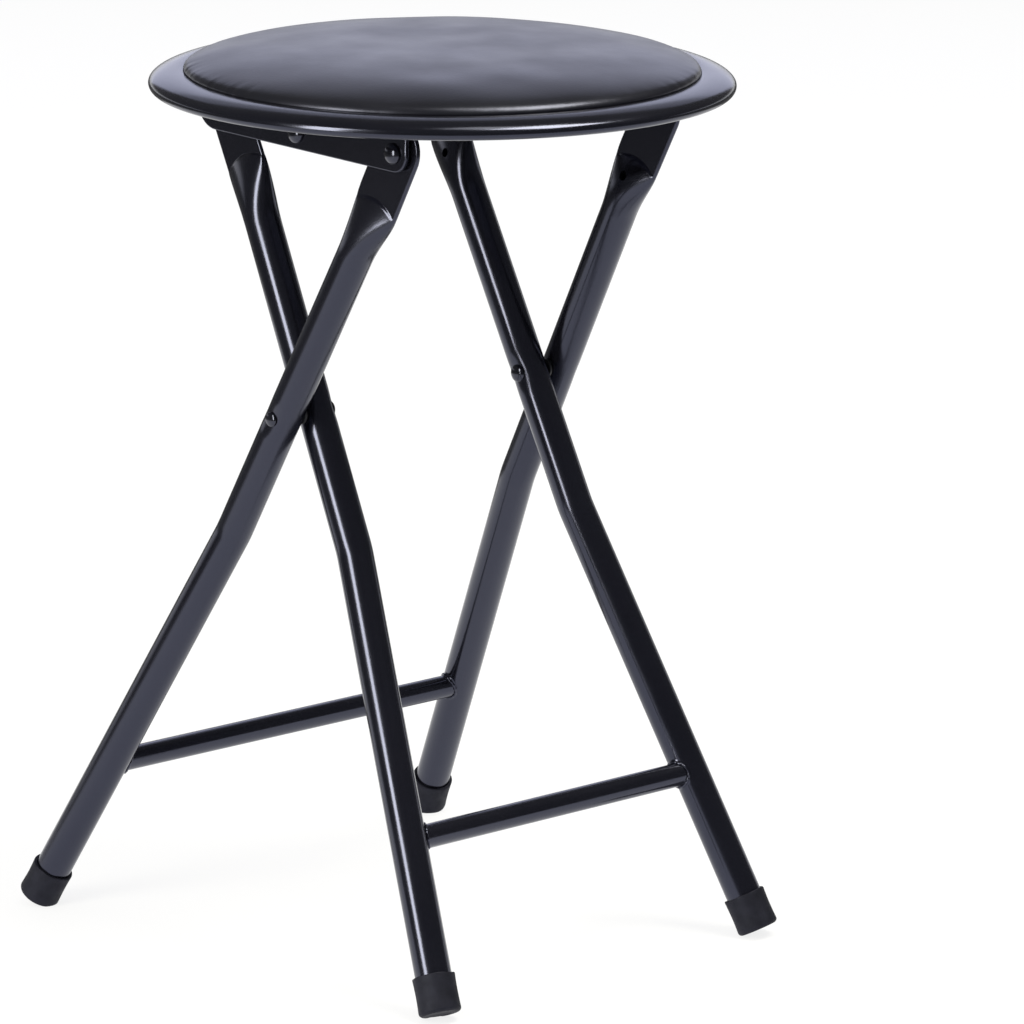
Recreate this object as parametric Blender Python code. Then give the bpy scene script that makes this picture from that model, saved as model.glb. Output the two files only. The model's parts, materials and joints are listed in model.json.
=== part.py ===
"""Round padded folding stool on two crossed leg frames.

The outer frame (two legs and a bar) and the inner frame turn on two rivets where
the legs cross. The seat hangs on the outer frame at one end of its brackets, and
two links join the middle of the brackets to the tops of the inner frame. Open,
pivot, link rivet and inner leg top lie in one straight line under the seat, which
stops the legs from spreading. Folded, the seat stands up along the legs.

World axes: +X points to the side of the seat that the outer frame carries, +Z is up,
and the origin is on the floor under the middle of the open stool.
"""
import math

import bmesh
import bpy
from mathutils import Matrix, Vector

MM = 0.001

# Legs, all round tube pressed flat at the top
CROSSING_HEIGHT = 288.5 * MM
OUTER_LEAN = math.radians(28.45)
INNER_LEAN = math.radians(26.6)
TUBE_RADIUS = 9.5 * MM
TUBE_WALL = 1.2 * MM
OUTER_HALF_SPACING = 96.5 * MM
CROSSING_GAP = 2.4 * MM
OUTER_UPPER_SPLAY = math.radians(2.6)
OUTER_LOWER_SPLAY = math.radians(9.0)
INNER_UPPER_SPLAY = math.radians(1.9)
INNER_LOWER_SPLAY = math.radians(8.3)
KNEE_DROP = 76 * MM
KNEE_BEND_RADIUS = 70 * MM
OUTER_PIVOT_REACH = 171.5 * MM
OUTER_PIVOT_OFFSET = 1.6 * MM
TAB_WIDTH = 31 * MM
TAB_THICKNESS = 2.6 * MM
TAB_DROP = 31 * MM
SCOOP_LENGTH = 31 * MM
DRAIN_HOLE_RADIUS = 2.4 * MM
DRAIN_HOLE_DROP = 43 * MM
DRAIN_HOLE_OFFSET = 6 * MM

# Crossbars, welded between the legs of each frame
BAR_RADIUS = 6.3 * MM
BAR_WALL = 1.0 * MM
OUTER_BAR_DROP = 231.7 * MM
INNER_BAR_DROP = 228.5 * MM
WELD_SIZE = 3.2 * MM

# Rubber foot caps
CAP_WALL = 1.3 * MM
CAP_LENGTH = 20 * MM
CAP_FLOOR = 3 * MM
CAP_EDGE_RADIUS = 2 * MM
CAP_LIP_BEVEL = 0.5 * MM
CAP_WORN_DEPTH = 0.8 * MM

# Seat
SEAT_RADIUS = 152.5 * MM
SEAT_CENTRE_TO_PIVOT = 70 * MM
PAN_WALL = 1.2 * MM
RIM_WIDTH = 16.4 * MM
RIM_EQUATOR_BELOW_PAN = 2.9 * MM
RIM_RISE = 8.2 * MM
RIM_DROP = 1.9 * MM
RIM_CURL = 4.8 * MM
PAN_WALL_RUN = 5 * MM
CUSHION_CROWN = 17.3 * MM
CUSHION_EDGE_GAP = 1.6 * MM
CUSHION_TUCK = 5.5 * MM
CUSHION_SHOULDER = 4.4 * MM
COVER_WALL = 0.8 * MM
HEM_WIDTH = 12 * MM
BOARD_INSET = 11.9 * MM
BOARD_THICKNESS = 6 * MM

# Brackets, links and their fixings
BRACKET_WALL = 2.5 * MM
BRACKET_REACH = 154 * MM
BRACKET_DROP = 9.6 * MM
BRACKET_TAPER = 2 * MM
BRACKET_CORNER = 14 * MM
FLANGE_LENGTH = 120 * MM
FLANGE_WIDTH = 14 * MM
FLANGE_CORNER = 5 * MM
LINK_ARM = 74.8 * MM
LINK_WIDTH = 20 * MM
LINK_WALL = 3 * MM
RIVET_RADIUS = 3 * MM
RIVET_HEAD_RADIUS = 5.4 * MM
RIVET_HEAD_HEIGHT = 3.2 * MM
CROSSING_HEAD_HEIGHT = 2 * MM
RIVET_TAIL_RADIUS = 4.8 * MM
RIVET_TAIL_HEIGHT = 2.2 * MM
WASHER_RADIUS = 8 * MM
WASHER_WALL = 0.8 * MM
SLEEVE_WALL = 2 * MM
SCREW_RADIUS = 1.9 * MM
SCREW_HEAD_RADIUS = 4 * MM
SCREW_HEAD_HEIGHT = 2.3 * MM
SCREW_SPACING = 45 * MM
SCREW_TIP_COVER = 1.5 * MM

# How far it folds: angle left between the leg frames, and the seat's lean from the outer legs
FOLDED_LEG_ANGLE = math.radians(6.6)
FOLDED_SEAT_LEAN = math.radians(1.0)

# Clearances
GAP = 0.3 * MM
HOLE_CLEARANCE = 0.3 * MM
PAN_CLEARANCE = 0.7 * MM

# Facets
TUBE_SIDES = 20
BAR_SIDES = 16
SEAT_SIDES = 64
CUSHION_SIDES = 48
FIXING_SIDES = 16
HOLE_SIDES = 16

# Sizes worked out from the driving ones
INNER_HALF_SPACING = OUTER_HALF_SPACING - 2 * TUBE_RADIUS - CROSSING_GAP
HOLE_RADIUS = RIVET_RADIUS + HOLE_CLEARANCE
PAN_ABOVE_PIVOT = TAB_WIDTH / 2 + OUTER_PIVOT_OFFSET + PAN_CLEARANCE


def turned(x, z, angle):
    """Point (x, z) turned about the origin, from +Z towards +X."""
    sine, cosine = math.sin(angle), math.cos(angle)
    return Vector((x * cosine + z * sine, z * cosine - x * sine))


def inner_pivot_x():
    """Where the inner legs' top pivot must lie so that the links fit open and folded.

    The pivot is level with the other two when open. Folded, it turns with the inner
    frame, and its distance to the link rivet on the upright seat is the same again.
    """
    swing = INNER_LEAN - FOLDED_LEG_ANGLE
    rivet = OUTER_PIVOT + turned(0, LINK_ARM, FOLDED_SEAT_LEAN)
    start = turned(0, PIVOT_RISE, swing)
    step = turned(1, 0, swing)
    to_rivet = rivet - start
    return (to_rivet.length_squared - LINK_PIVOT_X ** 2) / (2 * (to_rivet.dot(step) - LINK_PIVOT_X))


OUTER_PIVOT = Vector((OUTER_PIVOT_OFFSET, OUTER_PIVOT_REACH))
PIVOT_X, PIVOT_RISE = turned(OUTER_PIVOT_OFFSET, OUTER_PIVOT_REACH, OUTER_LEAN)
LINK_PIVOT_X = PIVOT_X - LINK_ARM
INNER_PIVOT_X = inner_pivot_x()
LINK_LENGTH = LINK_PIVOT_X - INNER_PIVOT_X
INNER_PIVOT = turned(INNER_PIVOT_X, PIVOT_RISE, INNER_LEAN)


class LegShape:
    """Centre line and section of a leg, in its frame's own axes.

    The frame's +Z runs up the leg from the crossing rivet and y is the distance out
    from the stool's middle plane. The leg leans out a little to the knee, and more
    below it.
    """

    def __init__(self, lean, half_spacing, upper_splay, lower_splay, bar_drop, pivot):
        self.lean = lean
        self.half_spacing = half_spacing
        self.upper_splay = upper_splay
        self.lower_splay = lower_splay
        self.bar_drop = bar_drop
        self.pivot = pivot
        self.knee_y = half_spacing + KNEE_DROP * math.tan(upper_splay)
        self.tab_y = half_spacing - (pivot.y - TAB_DROP) * math.tan(upper_splay)
        self.foot = self.cap_floor_height()

    def y_at(self, z):
        """Distance out of the tube's centre line at a height."""
        if z > -KNEE_DROP:
            return self.half_spacing - z * math.tan(self.upper_splay)
        return self.knee_y - (z + KNEE_DROP) * math.tan(self.lower_splay)

    def cap_floor_height(self):
        """Height, along the leg, of the middle of the cap's floor.

        The cap is square to the leg, so it meets the floor on its rounded edge, which
        is worn flat by CAP_WORN_DEPTH.
        """
        upright = math.cos(self.lower_splay) * math.cos(self.lean)
        tilt = math.acos(upright)
        ring_radius = CAP_RADIUS - CAP_EDGE_RADIUS
        lowest = CAP_EDGE_RADIUS * (1 - upright) + ring_radius * math.sin(tilt)
        world_z = lowest - CAP_WORN_DEPTH
        return (world_z - CROSSING_HEIGHT) / math.cos(self.lean)

    def foot_axis(self):
        """Unit vector up the lower leg, for the side where y is positive."""
        return Vector((0, -math.sin(self.lower_splay), math.cos(self.lower_splay)))

    def foot_point(self, rise):
        """Point on the lower leg's centre line, at a distance above the cap's floor."""
        floor = Vector((0, self.y_at(self.foot), self.foot))
        return floor + self.foot_axis() * rise


CAP_RADIUS = TUBE_RADIUS + GAP + CAP_WALL
OUTER = LegShape(OUTER_LEAN, OUTER_HALF_SPACING, OUTER_UPPER_SPLAY, OUTER_LOWER_SPLAY,
                 OUTER_BAR_DROP, OUTER_PIVOT)
INNER = LegShape(-INNER_LEAN, INNER_HALF_SPACING, INNER_UPPER_SPLAY, INNER_LOWER_SPLAY,
                 INNER_BAR_DROP, INNER_PIVOT)

# Distances out from the middle plane, where the pieces stack on their pivots
OUTER_TAB_FACE = OUTER.tab_y + TAB_THICKNESS / 2
OUTER_TAB_INNER_FACE = OUTER.tab_y - TAB_THICKNESS / 2
INNER_TAB_FACE = INNER.tab_y + TAB_THICKNESS / 2
INNER_TAB_INNER_FACE = INNER.tab_y - TAB_THICKNESS / 2
BRACKET_INNER_FACE = OUTER_TAB_FACE + GAP + WASHER_WALL + GAP
BRACKET_FACE = BRACKET_INNER_FACE + BRACKET_WALL
LINK_INNER_FACE = INNER_TAB_FACE + GAP
LINK_FACE = LINK_INNER_FACE + LINK_WALL

# Heights in the seat's own axes, where the outer pivot is the origin
PAN_FLOOR = PAN_ABOVE_PIVOT + PAN_WALL
RIM_EQUATOR = PAN_ABOVE_PIVOT - RIM_EQUATOR_BELOW_PAN
LIP_RADIUS = SEAT_RADIUS - RIM_WIDTH
COVER_BASE = PAN_FLOOR + GAP
BOARD_BASE = COVER_BASE + COVER_WALL + GAP
CUSHION_TOP = PAN_FLOOR + CUSHION_CROWN
CUSHION_RADIUS = LIP_RADIUS - CUSHION_EDGE_GAP
BOARD_RADIUS = CUSHION_RADIUS - BOARD_INSET
FLANGE_OUTER = BRACKET_FACE + FLANGE_WIDTH
SCREW_Y = (BRACKET_FACE + FLANGE_OUTER) / 2
BRACKET_TOP = PAN_ABOVE_PIVOT - GAP


def middle_of_stool():
    """World x of the crossing rivets that puts the origin under the open stool's middle."""
    back_lean = math.sin(OUTER_LEAN) * math.cos(OUTER_LOWER_SPLAY)
    spread = (CAP_RADIUS - CAP_EDGE_RADIUS) * math.sqrt(1 - back_lean ** 2) + CAP_EDGE_RADIUS
    back = OUTER.foot * math.sin(OUTER_LEAN) + CAP_EDGE_RADIUS * back_lean - spread
    seat_edge = PIVOT_X - SEAT_CENTRE_TO_PIVOT + SEAT_RADIUS
    front_lean = math.sin(INNER_LEAN) * math.cos(INNER_LOWER_SPLAY)
    spread = (CAP_RADIUS - CAP_EDGE_RADIUS) * math.sqrt(1 - front_lean ** 2) + CAP_EDGE_RADIUS
    front = -INNER.foot * math.sin(INNER_LEAN) - CAP_EDGE_RADIUS * front_lean + spread
    return -(back + max(front, seat_edge)) / 2


CROSSING_X = middle_of_stool()


def material(name, colour, roughness, metallic=0.0):
    """Principled material with a plain colour."""
    made = bpy.data.materials.new(name)
    made.use_nodes = True
    shader = made.node_tree.nodes["Principled BSDF"]
    shader.inputs["Base Color"].default_value = (*colour, 1)
    shader.inputs["Roughness"].default_value = roughness
    shader.inputs["Metallic"].default_value = metallic
    return made


def joint_frame(name, location, angle=0.0, parent=None):
    """Empty on a joint's axis, turned about Y."""
    empty = bpy.data.objects.new(name, None)
    bpy.context.collection.objects.link(empty)
    empty.location = location
    empty.rotation_euler = (0, angle, 0)
    empty.parent = parent
    return empty


def node(name, mesh_data, parent, finish, location=(0, 0, 0), rotation=(0, 0, 0)):
    """Object from a bmesh, closed and with its faces pointing out."""
    bmesh.ops.recalc_face_normals(mesh_data, faces=mesh_data.faces)
    mesh = bpy.data.meshes.new(name)
    mesh_data.to_mesh(mesh)
    mesh_data.free()
    mesh.shade_smooth()
    mesh.set_sharp_from_angle(angle=math.radians(32))
    if finish is not None:
        mesh.materials.append(finish)
    made = bpy.data.objects.new(name, mesh)
    bpy.context.collection.objects.link(made)
    made.parent = parent
    made.location = location
    made.rotation_euler = rotation
    return made


def boolean(target, tool, operation="DIFFERENCE"):
    """Cut a guide object from a node, or join it, and hide the guide."""
    modifier = target.modifiers.new(operation.lower(), "BOOLEAN")
    modifier.operation = operation
    modifier.solver = "EXACT"
    modifier.object = tool
    tool.hide_render = True
    tool.display_type = "WIRE"


def lathe(profile, sides, closed=False):
    """Turn a profile of (radius, height) points about Z."""
    shape = bmesh.new()
    ring = [shape.verts.new((radius, 0, height)) for radius, height in profile]
    ends = ring[1:] + ring[:1] if closed else ring[1:]
    edges = [shape.edges.new(pair) for pair in zip(ring, ends)]
    bmesh.ops.spin(shape, geom=ring + edges, cent=(0, 0, 0), axis=(0, 0, 1),
                   angle=math.tau, steps=sides, use_merge=True)
    bmesh.ops.remove_doubles(shape, verts=shape.verts, dist=1e-6)
    return shape


def loft(rings):
    """Skin closed rings of equal count, with a face across each end."""
    shape = bmesh.new()
    rows = [[shape.verts.new(point) for point in ring] for ring in rings]
    count = len(rows[0])
    for lower, upper in zip(rows, rows[1:]):
        for i in range(count):
            j = (i + 1) % count
            shape.faces.new((lower[i], lower[j], upper[j], upper[i]))
    shape.faces.new(rows[0][::-1])
    shape.faces.new(rows[-1])
    return shape


def prism(outline, low, high, place):
    """Flat outline given a thickness; place turns (u, v, depth) into a point."""
    return loft([[place(u, v, depth) for u, v in outline] for depth in (low, high)])


def arc(centre, radius, start, end, steps):
    """Points round part of a circle, by angles in degrees."""
    angles = [math.radians(start + (end - start) * i / steps) for i in range(steps + 1)]
    return [(centre[0] + radius * math.cos(a), centre[1] + radius * math.sin(a)) for a in angles]


def ellipse_arc(centre, across, up, start, end, steps):
    """Points round part of an ellipse, by angles in degrees."""
    angles = [math.radians(start + (end - start) * i / steps) for i in range(steps + 1)]
    return [(centre[0] + across * math.cos(a), centre[1] + up * math.sin(a)) for a in angles]


def across(side):
    """Rotation that lays a lathed piece along Y, its +Z pointing out on that side."""
    return (-side * math.pi / 2, 0, 0)


def upright_plate(side):
    """Placement for an outline in X and Z whose depth is the distance out in y."""
    return lambda u, v, depth: (u, side * depth, v)


def hole(name, target, parent, x, z, radius, near, far):
    """Round hole along Y through a node, from one distance out to another."""
    low, high = min(near, far), max(near, far)
    drill = lathe([(0, low), (radius, low), (radius, high), (0, high)], HOLE_SIDES)
    cutter = node(name, drill, parent, None, (x, 0, z), across(1))
    boolean(target, cutter)


def smooth(share):
    """Ease from 0 to 1."""
    share = min(max(share, 0.0), 1.0)
    return share * share * (3 - 2 * share)


def leg_section(half_width, half_thickness, flatness):
    """Ring of (x, n) points: flat-sided with round edges, or an ellipse."""
    points = []
    for i in range(TUBE_SIDES):
        angle = math.tau * i / TUBE_SIDES
        cosine, sine = math.cos(angle), math.sin(angle)
        side = 0 if abs(cosine) < 1e-6 else math.copysign(1, cosine)
        flat_x = side * (half_width - half_thickness) + half_thickness * cosine
        round_x = half_width * cosine
        points.append((flat_x * flatness + round_x * (1 - flatness), half_thickness * sine))
    return points


def leg_centre_line(leg, top):
    """Points (y, z) and leans of the tube from its foot up to a height."""
    bend = leg.lower_splay - leg.upper_splay
    run = KNEE_BEND_RADIUS * math.tan(bend / 2)
    foot = leg.foot_point(CAP_FLOOR + GAP)
    knee_z = -KNEE_DROP
    start_z = knee_z - run * math.cos(leg.lower_splay)
    start_y = leg.knee_y + run * math.sin(leg.lower_splay)
    centre_y = start_y + KNEE_BEND_RADIUS * math.cos(leg.lower_splay)
    centre_z = start_z + KNEE_BEND_RADIUS * math.sin(leg.lower_splay)
    line = [(foot.y, foot.z, leg.lower_splay)]
    for i in range(3):
        lean = leg.lower_splay - bend * i / 2
        line.append((centre_y - KNEE_BEND_RADIUS * math.cos(lean),
                     centre_z - KNEE_BEND_RADIUS * math.sin(lean), lean))
    line.append((leg.y_at(top), top, leg.upper_splay))
    return line


def placed_ring(section, y, z, lean, side):
    """Section set square to a centre line that leans out towards the foot."""
    return [(u, side * (y + n * math.cos(lean)), z + n * math.sin(lean)) for u, n in section]


def leg_mesh(leg, side):
    """Hollow leg: bore from the foot up to the pressed part, outside up to the tab's end."""
    tab_start = leg.pivot.y - TAB_DROP
    scoop_end = tab_start - SCOOP_LENGTH
    bore_radius = TUBE_RADIUS - TUBE_WALL
    half_tab = TAB_WIDTH / 2
    half_plate = TAB_THICKNESS / 2
    scoop_steps = 6

    def scoop(share, wall):
        """Ring in the pressed part, where share runs from the round tube to the tab."""
        height = scoop_end + SCOOP_LENGTH * share
        flat = smooth(share)
        half_width = TUBE_RADIUS + (half_tab - TUBE_RADIUS) * flat - wall
        half_thickness = TUBE_RADIUS + (half_plate - TUBE_RADIUS) * flat - wall
        y = leg.y_at(height) * (1 - flat) + leg.tab_y * flat
        section = leg_section(half_width, half_thickness, share ** 2)
        return placed_ring(section, y, height, leg.upper_splay * (1 - flat), side)

    line = leg_centre_line(leg, scoop_end)
    bore_shares = [i / scoop_steps for i in range(scoop_steps - 1)]
    bore = [placed_ring(leg_section(bore_radius, bore_radius, 0), y, z, lean, side)
            for y, z, lean in line[:-1]]
    bore += [scoop(share, TUBE_WALL) for share in bore_shares]
    outside = [placed_ring(leg_section(TUBE_RADIUS, TUBE_RADIUS, 0), y, z, lean, side)
               for y, z, lean in line[:-1]]
    outside += [scoop(i / scoop_steps, 0) for i in range(scoop_steps + 1)]
    for angle in (0, 18, 36, 54, 70, 83):
        half_width = half_tab * math.cos(math.radians(angle))
        height = leg.pivot.y + half_tab * math.sin(math.radians(angle))
        section = leg_section(half_width, half_plate, 1)
        outside.append(placed_ring(section, leg.tab_y, height, 0, side))
    return loft(bore[::-1] + outside)


def build_leg(name, leg, side, parent):
    """Leg with its pivot hole, crossing hole and drain hole."""
    made = node(name, leg_mesh(leg, side), parent, POWDER_COAT)
    reach = TUBE_RADIUS + RIVET_HEAD_HEIGHT
    tab = (side * (leg.tab_y - TAB_THICKNESS), side * (leg.tab_y + TAB_THICKNESS))
    hole(name + "_pivot_hole", made, parent, leg.pivot.x, leg.pivot.y, HOLE_RADIUS, *tab)
    crossing = (side * (leg.half_spacing - reach), side * (leg.half_spacing + reach))
    hole(name + "_crossing_hole", made, parent, 0, 0, HOLE_RADIUS, *crossing)
    drain_z = leg.pivot.y - DRAIN_HOLE_DROP
    drain_y = leg.y_at(drain_z)
    drain_x = -DRAIN_HOLE_OFFSET
    inside = (side * (drain_y - TUBE_RADIUS - GAP), side * (drain_y - TUBE_WALL))
    hole(name + "_drain_hole", made, parent, drain_x, drain_z, DRAIN_HOLE_RADIUS, *inside)
    return made


def leg_clearance(name, leg, side, parent):
    """Guide round the lower leg, one gap larger than its tube."""
    radius = TUBE_RADIUS + GAP
    length = leg.bar_drop
    cutter = lathe([(0, 0), (radius, 0), (radius, length), (0, length)], TUBE_SIDES)
    start = leg.foot_point(CAP_FLOOR)
    place = (0, side * start.y, start.z)
    return node(name, cutter, parent, None, place, (side * leg.lower_splay, 0, 0))


def build_crossbar(name, leg, parent):
    """Tube between the lower legs, coped to them, with a weld round each end."""
    leg_y = leg.y_at(-leg.bar_drop)
    surface = leg_y - (TUBE_RADIUS + GAP) / math.cos(leg.lower_splay)
    bore = BAR_RADIUS - BAR_WALL
    profile = [(bore, leg_y), (BAR_RADIUS + WELD_SIZE, leg_y), (BAR_RADIUS + WELD_SIZE, surface)]
    centre = (BAR_RADIUS + WELD_SIZE, surface - WELD_SIZE)
    profile += arc(centre, WELD_SIZE, 115, 180, 3)
    mirrored = [(radius, -y) for radius, y in profile[::-1]]
    shape = lathe(profile + mirrored, BAR_SIDES, closed=True)
    bar = node(name, shape, parent, POWDER_COAT, (0, 0, -leg.bar_drop), across(1))
    for side, end in ((-1, "right"), (1, "left")):
        boolean(bar, leg_clearance(name + "_cope_" + end, leg, side, parent))
    return bar


def build_cap(name, leg, side, parent, floor_cut):
    """Rubber cap pushed over the tube's end, worn flat where it meets the floor."""
    bore = TUBE_RADIUS + GAP
    edge = CAP_EDGE_RADIUS
    profile = [(0, 0)]
    profile += arc((CAP_RADIUS - edge, edge), edge, -90, 0, 4)
    profile += [(CAP_RADIUS, CAP_LENGTH - CAP_LIP_BEVEL), (CAP_RADIUS - CAP_LIP_BEVEL, CAP_LENGTH)]
    profile += [(bore, CAP_LENGTH), (bore, CAP_FLOOR), (0, CAP_FLOOR)]
    floor = leg.foot_point(0)
    place = (0, side * floor.y, floor.z)
    cap = node(name, lathe(profile, TUBE_SIDES), parent, RUBBER, place,
               (side * leg.lower_splay, 0, 0))
    boolean(cap, floor_cut)
    return cap


def rivet_profile(head_seat, tail_seat, head_height=RIVET_HEAD_HEIGHT):
    """Rivet from its outer domed head in to its flatter tail, as (radius, y)."""
    dome = ellipse_arc((0, head_seat), RIVET_HEAD_RADIUS, head_height, 90, 0, 4)
    tail = ellipse_arc((0, tail_seat), RIVET_TAIL_RADIUS, RIVET_TAIL_HEIGHT, 0, -90, 3)
    return dome + [(RIVET_RADIUS, head_seat), (RIVET_RADIUS, tail_seat)] + tail


def build_rivet(name, profile, side, parent, x=0.0, z=0.0):
    """Rivet along Y on a pivot."""
    return node(name, lathe(profile, FIXING_SIDES), parent, BRIGHT_BLACK, (x, 0, z), across(side))


def build_ring(name, radius, bore, low, high, side, parent, finish, x=0.0, z=0.0):
    """Washer, spacer or sleeve round a rivet."""
    profile = [(bore, low), (radius, low), (radius, high), (bore, high)]
    shape = lathe(profile, FIXING_SIDES, closed=True)
    return node(name, shape, parent, finish, (x, 0, z), across(side))


def crossing_reach(splay):
    """Distance from a leg's centre line to a flat face that just clears its tube."""
    return TUBE_RADIUS / math.cos(splay) + RIVET_HEAD_RADIUS * math.tan(splay) + GAP


def build_frames(outer, inner, floor_cut):
    """Both leg frames, their feet, and the rivets they cross on."""
    for side, end in ((-1, "right"), (1, "left")):
        build_leg("outer_leg_" + end, OUTER, side, outer)
        build_leg("inner_leg_" + end, INNER, side, inner)
        build_cap("outer_foot_cap_" + end, OUTER, side, outer, floor_cut)
        build_cap("inner_foot_cap_" + end, INNER, side, inner, floor_cut)
        head_seat = OUTER_HALF_SPACING + crossing_reach(OUTER_UPPER_SPLAY)
        tail_seat = INNER_HALF_SPACING - crossing_reach(INNER_UPPER_SPLAY)
        crossing = rivet_profile(head_seat, tail_seat, CROSSING_HEAD_HEIGHT)
        build_rivet("crossing_rivet_" + end, crossing, side, outer)
        spacer_out = OUTER_HALF_SPACING - crossing_reach(OUTER_UPPER_SPLAY)
        spacer_in = INNER_HALF_SPACING + crossing_reach(INNER_UPPER_SPLAY)
        build_ring("crossing_spacer_" + end, RIVET_HEAD_RADIUS, HOLE_RADIUS, spacer_in, spacer_out,
                   side, outer, NYLON)
        seat = INNER_TAB_INNER_FACE - GAP
        stub = [(0, INNER_TAB_FACE), (RIVET_RADIUS, INNER_TAB_FACE), (RIVET_RADIUS, seat)]
        stub += ellipse_arc((0, seat), RIVET_TAIL_RADIUS, RIVET_TAIL_HEIGHT, 0, -90, 3)
        build_rivet("inner_pivot_stud_" + end, stub, side, inner, INNER.pivot.x, INNER.pivot.y)
    build_crossbar("outer_crossbar", OUTER, outer)
    build_crossbar("inner_crossbar", INNER, inner)


def build_pan(parent):
    """Stamped steel pan with a rolled rim, open underneath."""
    wall = PAN_WALL
    floor_edge = LIP_RADIUS - PAN_WALL_RUN
    lip_centre = (LIP_RADIUS, RIM_EQUATOR)
    curl_centre = (SEAT_RADIUS - RIM_CURL, RIM_EQUATOR)
    lip_rise = RIM_EQUATOR + RIM_RISE - PAN_FLOOR
    profile = [(0, PAN_FLOOR), (floor_edge, PAN_FLOOR),
               (floor_edge + PAN_WALL_RUN * 0.45, PAN_FLOOR + lip_rise * 0.45)]
    profile += ellipse_arc(lip_centre, RIM_WIDTH, RIM_RISE, 90, 0, 6)
    profile += ellipse_arc(curl_centre, RIM_CURL, RIM_DROP, 0, -90, 3)[1:]
    profile += ellipse_arc(curl_centre, RIM_CURL - wall, RIM_DROP - wall, -90, 0, 2)
    profile += ellipse_arc(lip_centre, RIM_WIDTH - wall, RIM_RISE - wall, 0, 90, 4)[1:]
    profile += [(floor_edge + wall / 2, PAN_ABOVE_PIVOT), (0, PAN_ABOVE_PIVOT)]
    return node("seat_pan", lathe(profile, SEAT_SIDES), parent, POWDER_COAT,
                (-SEAT_CENTRE_TO_PIVOT, 0, 0))


def dome_height(radius, edge, rise):
    """Height of the crowned cushion over its shoulder line."""
    return rise * math.sqrt(max(0.0, 1 - (radius / edge) ** 3))


def cushion_outline(inset, base):
    """Profile of the crowned cushion from the middle of its top round to under its edge."""
    edge = CUSHION_RADIUS - inset
    shoulder = PAN_FLOOR + CUSHION_SHOULDER
    rise = CUSHION_TOP - inset - shoulder
    shares = (0, 0.34, 0.56, 0.73, 0.86, 0.94, 0.985, 1)
    top = [(edge * share, shoulder + dome_height(edge * share, edge, rise)) for share in shares]
    tuck = edge - CUSHION_TUCK
    under = [(edge - CUSHION_TUCK * 0.35, shoulder - (shoulder - base) * 0.6), (tuck, base)]
    return top + under


def build_cushion(parent):
    """Vinyl cover drawn in under the board, foam inside it, and the plywood board."""
    centre = (-SEAT_CENTRE_TO_PIVOT, 0, 0)
    hem = CUSHION_RADIUS - CUSHION_TUCK - HEM_WIDTH
    outside = cushion_outline(0, COVER_BASE)
    inside = cushion_outline(COVER_WALL, COVER_BASE + COVER_WALL)
    cover = outside + [(hem, COVER_BASE), (hem, COVER_BASE + COVER_WALL)] + inside[::-1]
    cover_shell = node("seat_cover", lathe(cover, CUSHION_SIDES), parent, VINYL, centre)
    board_top = BOARD_BASE + BOARD_THICKNESS
    foam = cushion_outline(COVER_WALL + GAP, BOARD_BASE)
    foam += [(BOARD_RADIUS + GAP, BOARD_BASE), (BOARD_RADIUS + GAP, board_top + GAP),
             (0, board_top + GAP)]
    core = node("seat_foam", lathe(foam, CUSHION_SIDES), parent, FOAM, centre)
    disc = [(0, BOARD_BASE), (BOARD_RADIUS, BOARD_BASE), (BOARD_RADIUS, board_top), (0, board_top)]
    board = node("seat_board", lathe(disc, CUSHION_SIDES), parent, PLYWOOD, centre)
    return cover_shell, core, board


def build_bracket(end, side, parent):
    """Angle bracket under the pan: an upright plate with a flange turned out."""
    round_end = BRACKET_DROP
    back = -BRACKET_REACH
    corner = (back + BRACKET_CORNER, BRACKET_TAPER - BRACKET_DROP + BRACKET_CORNER)
    outline = arc(corner, BRACKET_CORNER, 180, 270, 5)
    outline += arc((0, 0), round_end, -90, 0, 5)
    outline += [(round_end, BRACKET_TOP), (back, BRACKET_TOP)]
    plate = prism(outline, BRACKET_INNER_FACE, BRACKET_FACE, upright_plate(side))
    bracket = node("seat_bracket_" + end, plate, parent, POWDER_COAT)
    middle = -SEAT_CENTRE_TO_PIVOT
    inner_y = BRACKET_INNER_FACE + BRACKET_WALL / 2
    low, high = middle - FLANGE_LENGTH / 2, middle + FLANGE_LENGTH / 2
    flange = [(low, inner_y), (high, inner_y)]
    flange += arc((high - FLANGE_CORNER, FLANGE_OUTER - FLANGE_CORNER), FLANGE_CORNER, 0, 90, 3)
    flange += arc((low + FLANGE_CORNER, FLANGE_OUTER - FLANGE_CORNER), FLANGE_CORNER, 90, 180, 3)
    flat = prism(flange, BRACKET_TOP - BRACKET_WALL, BRACKET_TOP,
                 lambda u, v, depth: (u, side * v, depth))
    boolean(bracket, node("flange_guide_" + end, flat, parent, None), "UNION")
    reach = (side * (BRACKET_INNER_FACE - GAP), side * (BRACKET_FACE + GAP))
    hole("bracket_pivot_hole_" + end, bracket, parent, 0, 0, HOLE_RADIUS, *reach)
    hole("bracket_link_hole_" + end, bracket, parent, -LINK_ARM, 0, HOLE_RADIUS, *reach)
    return bracket


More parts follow.
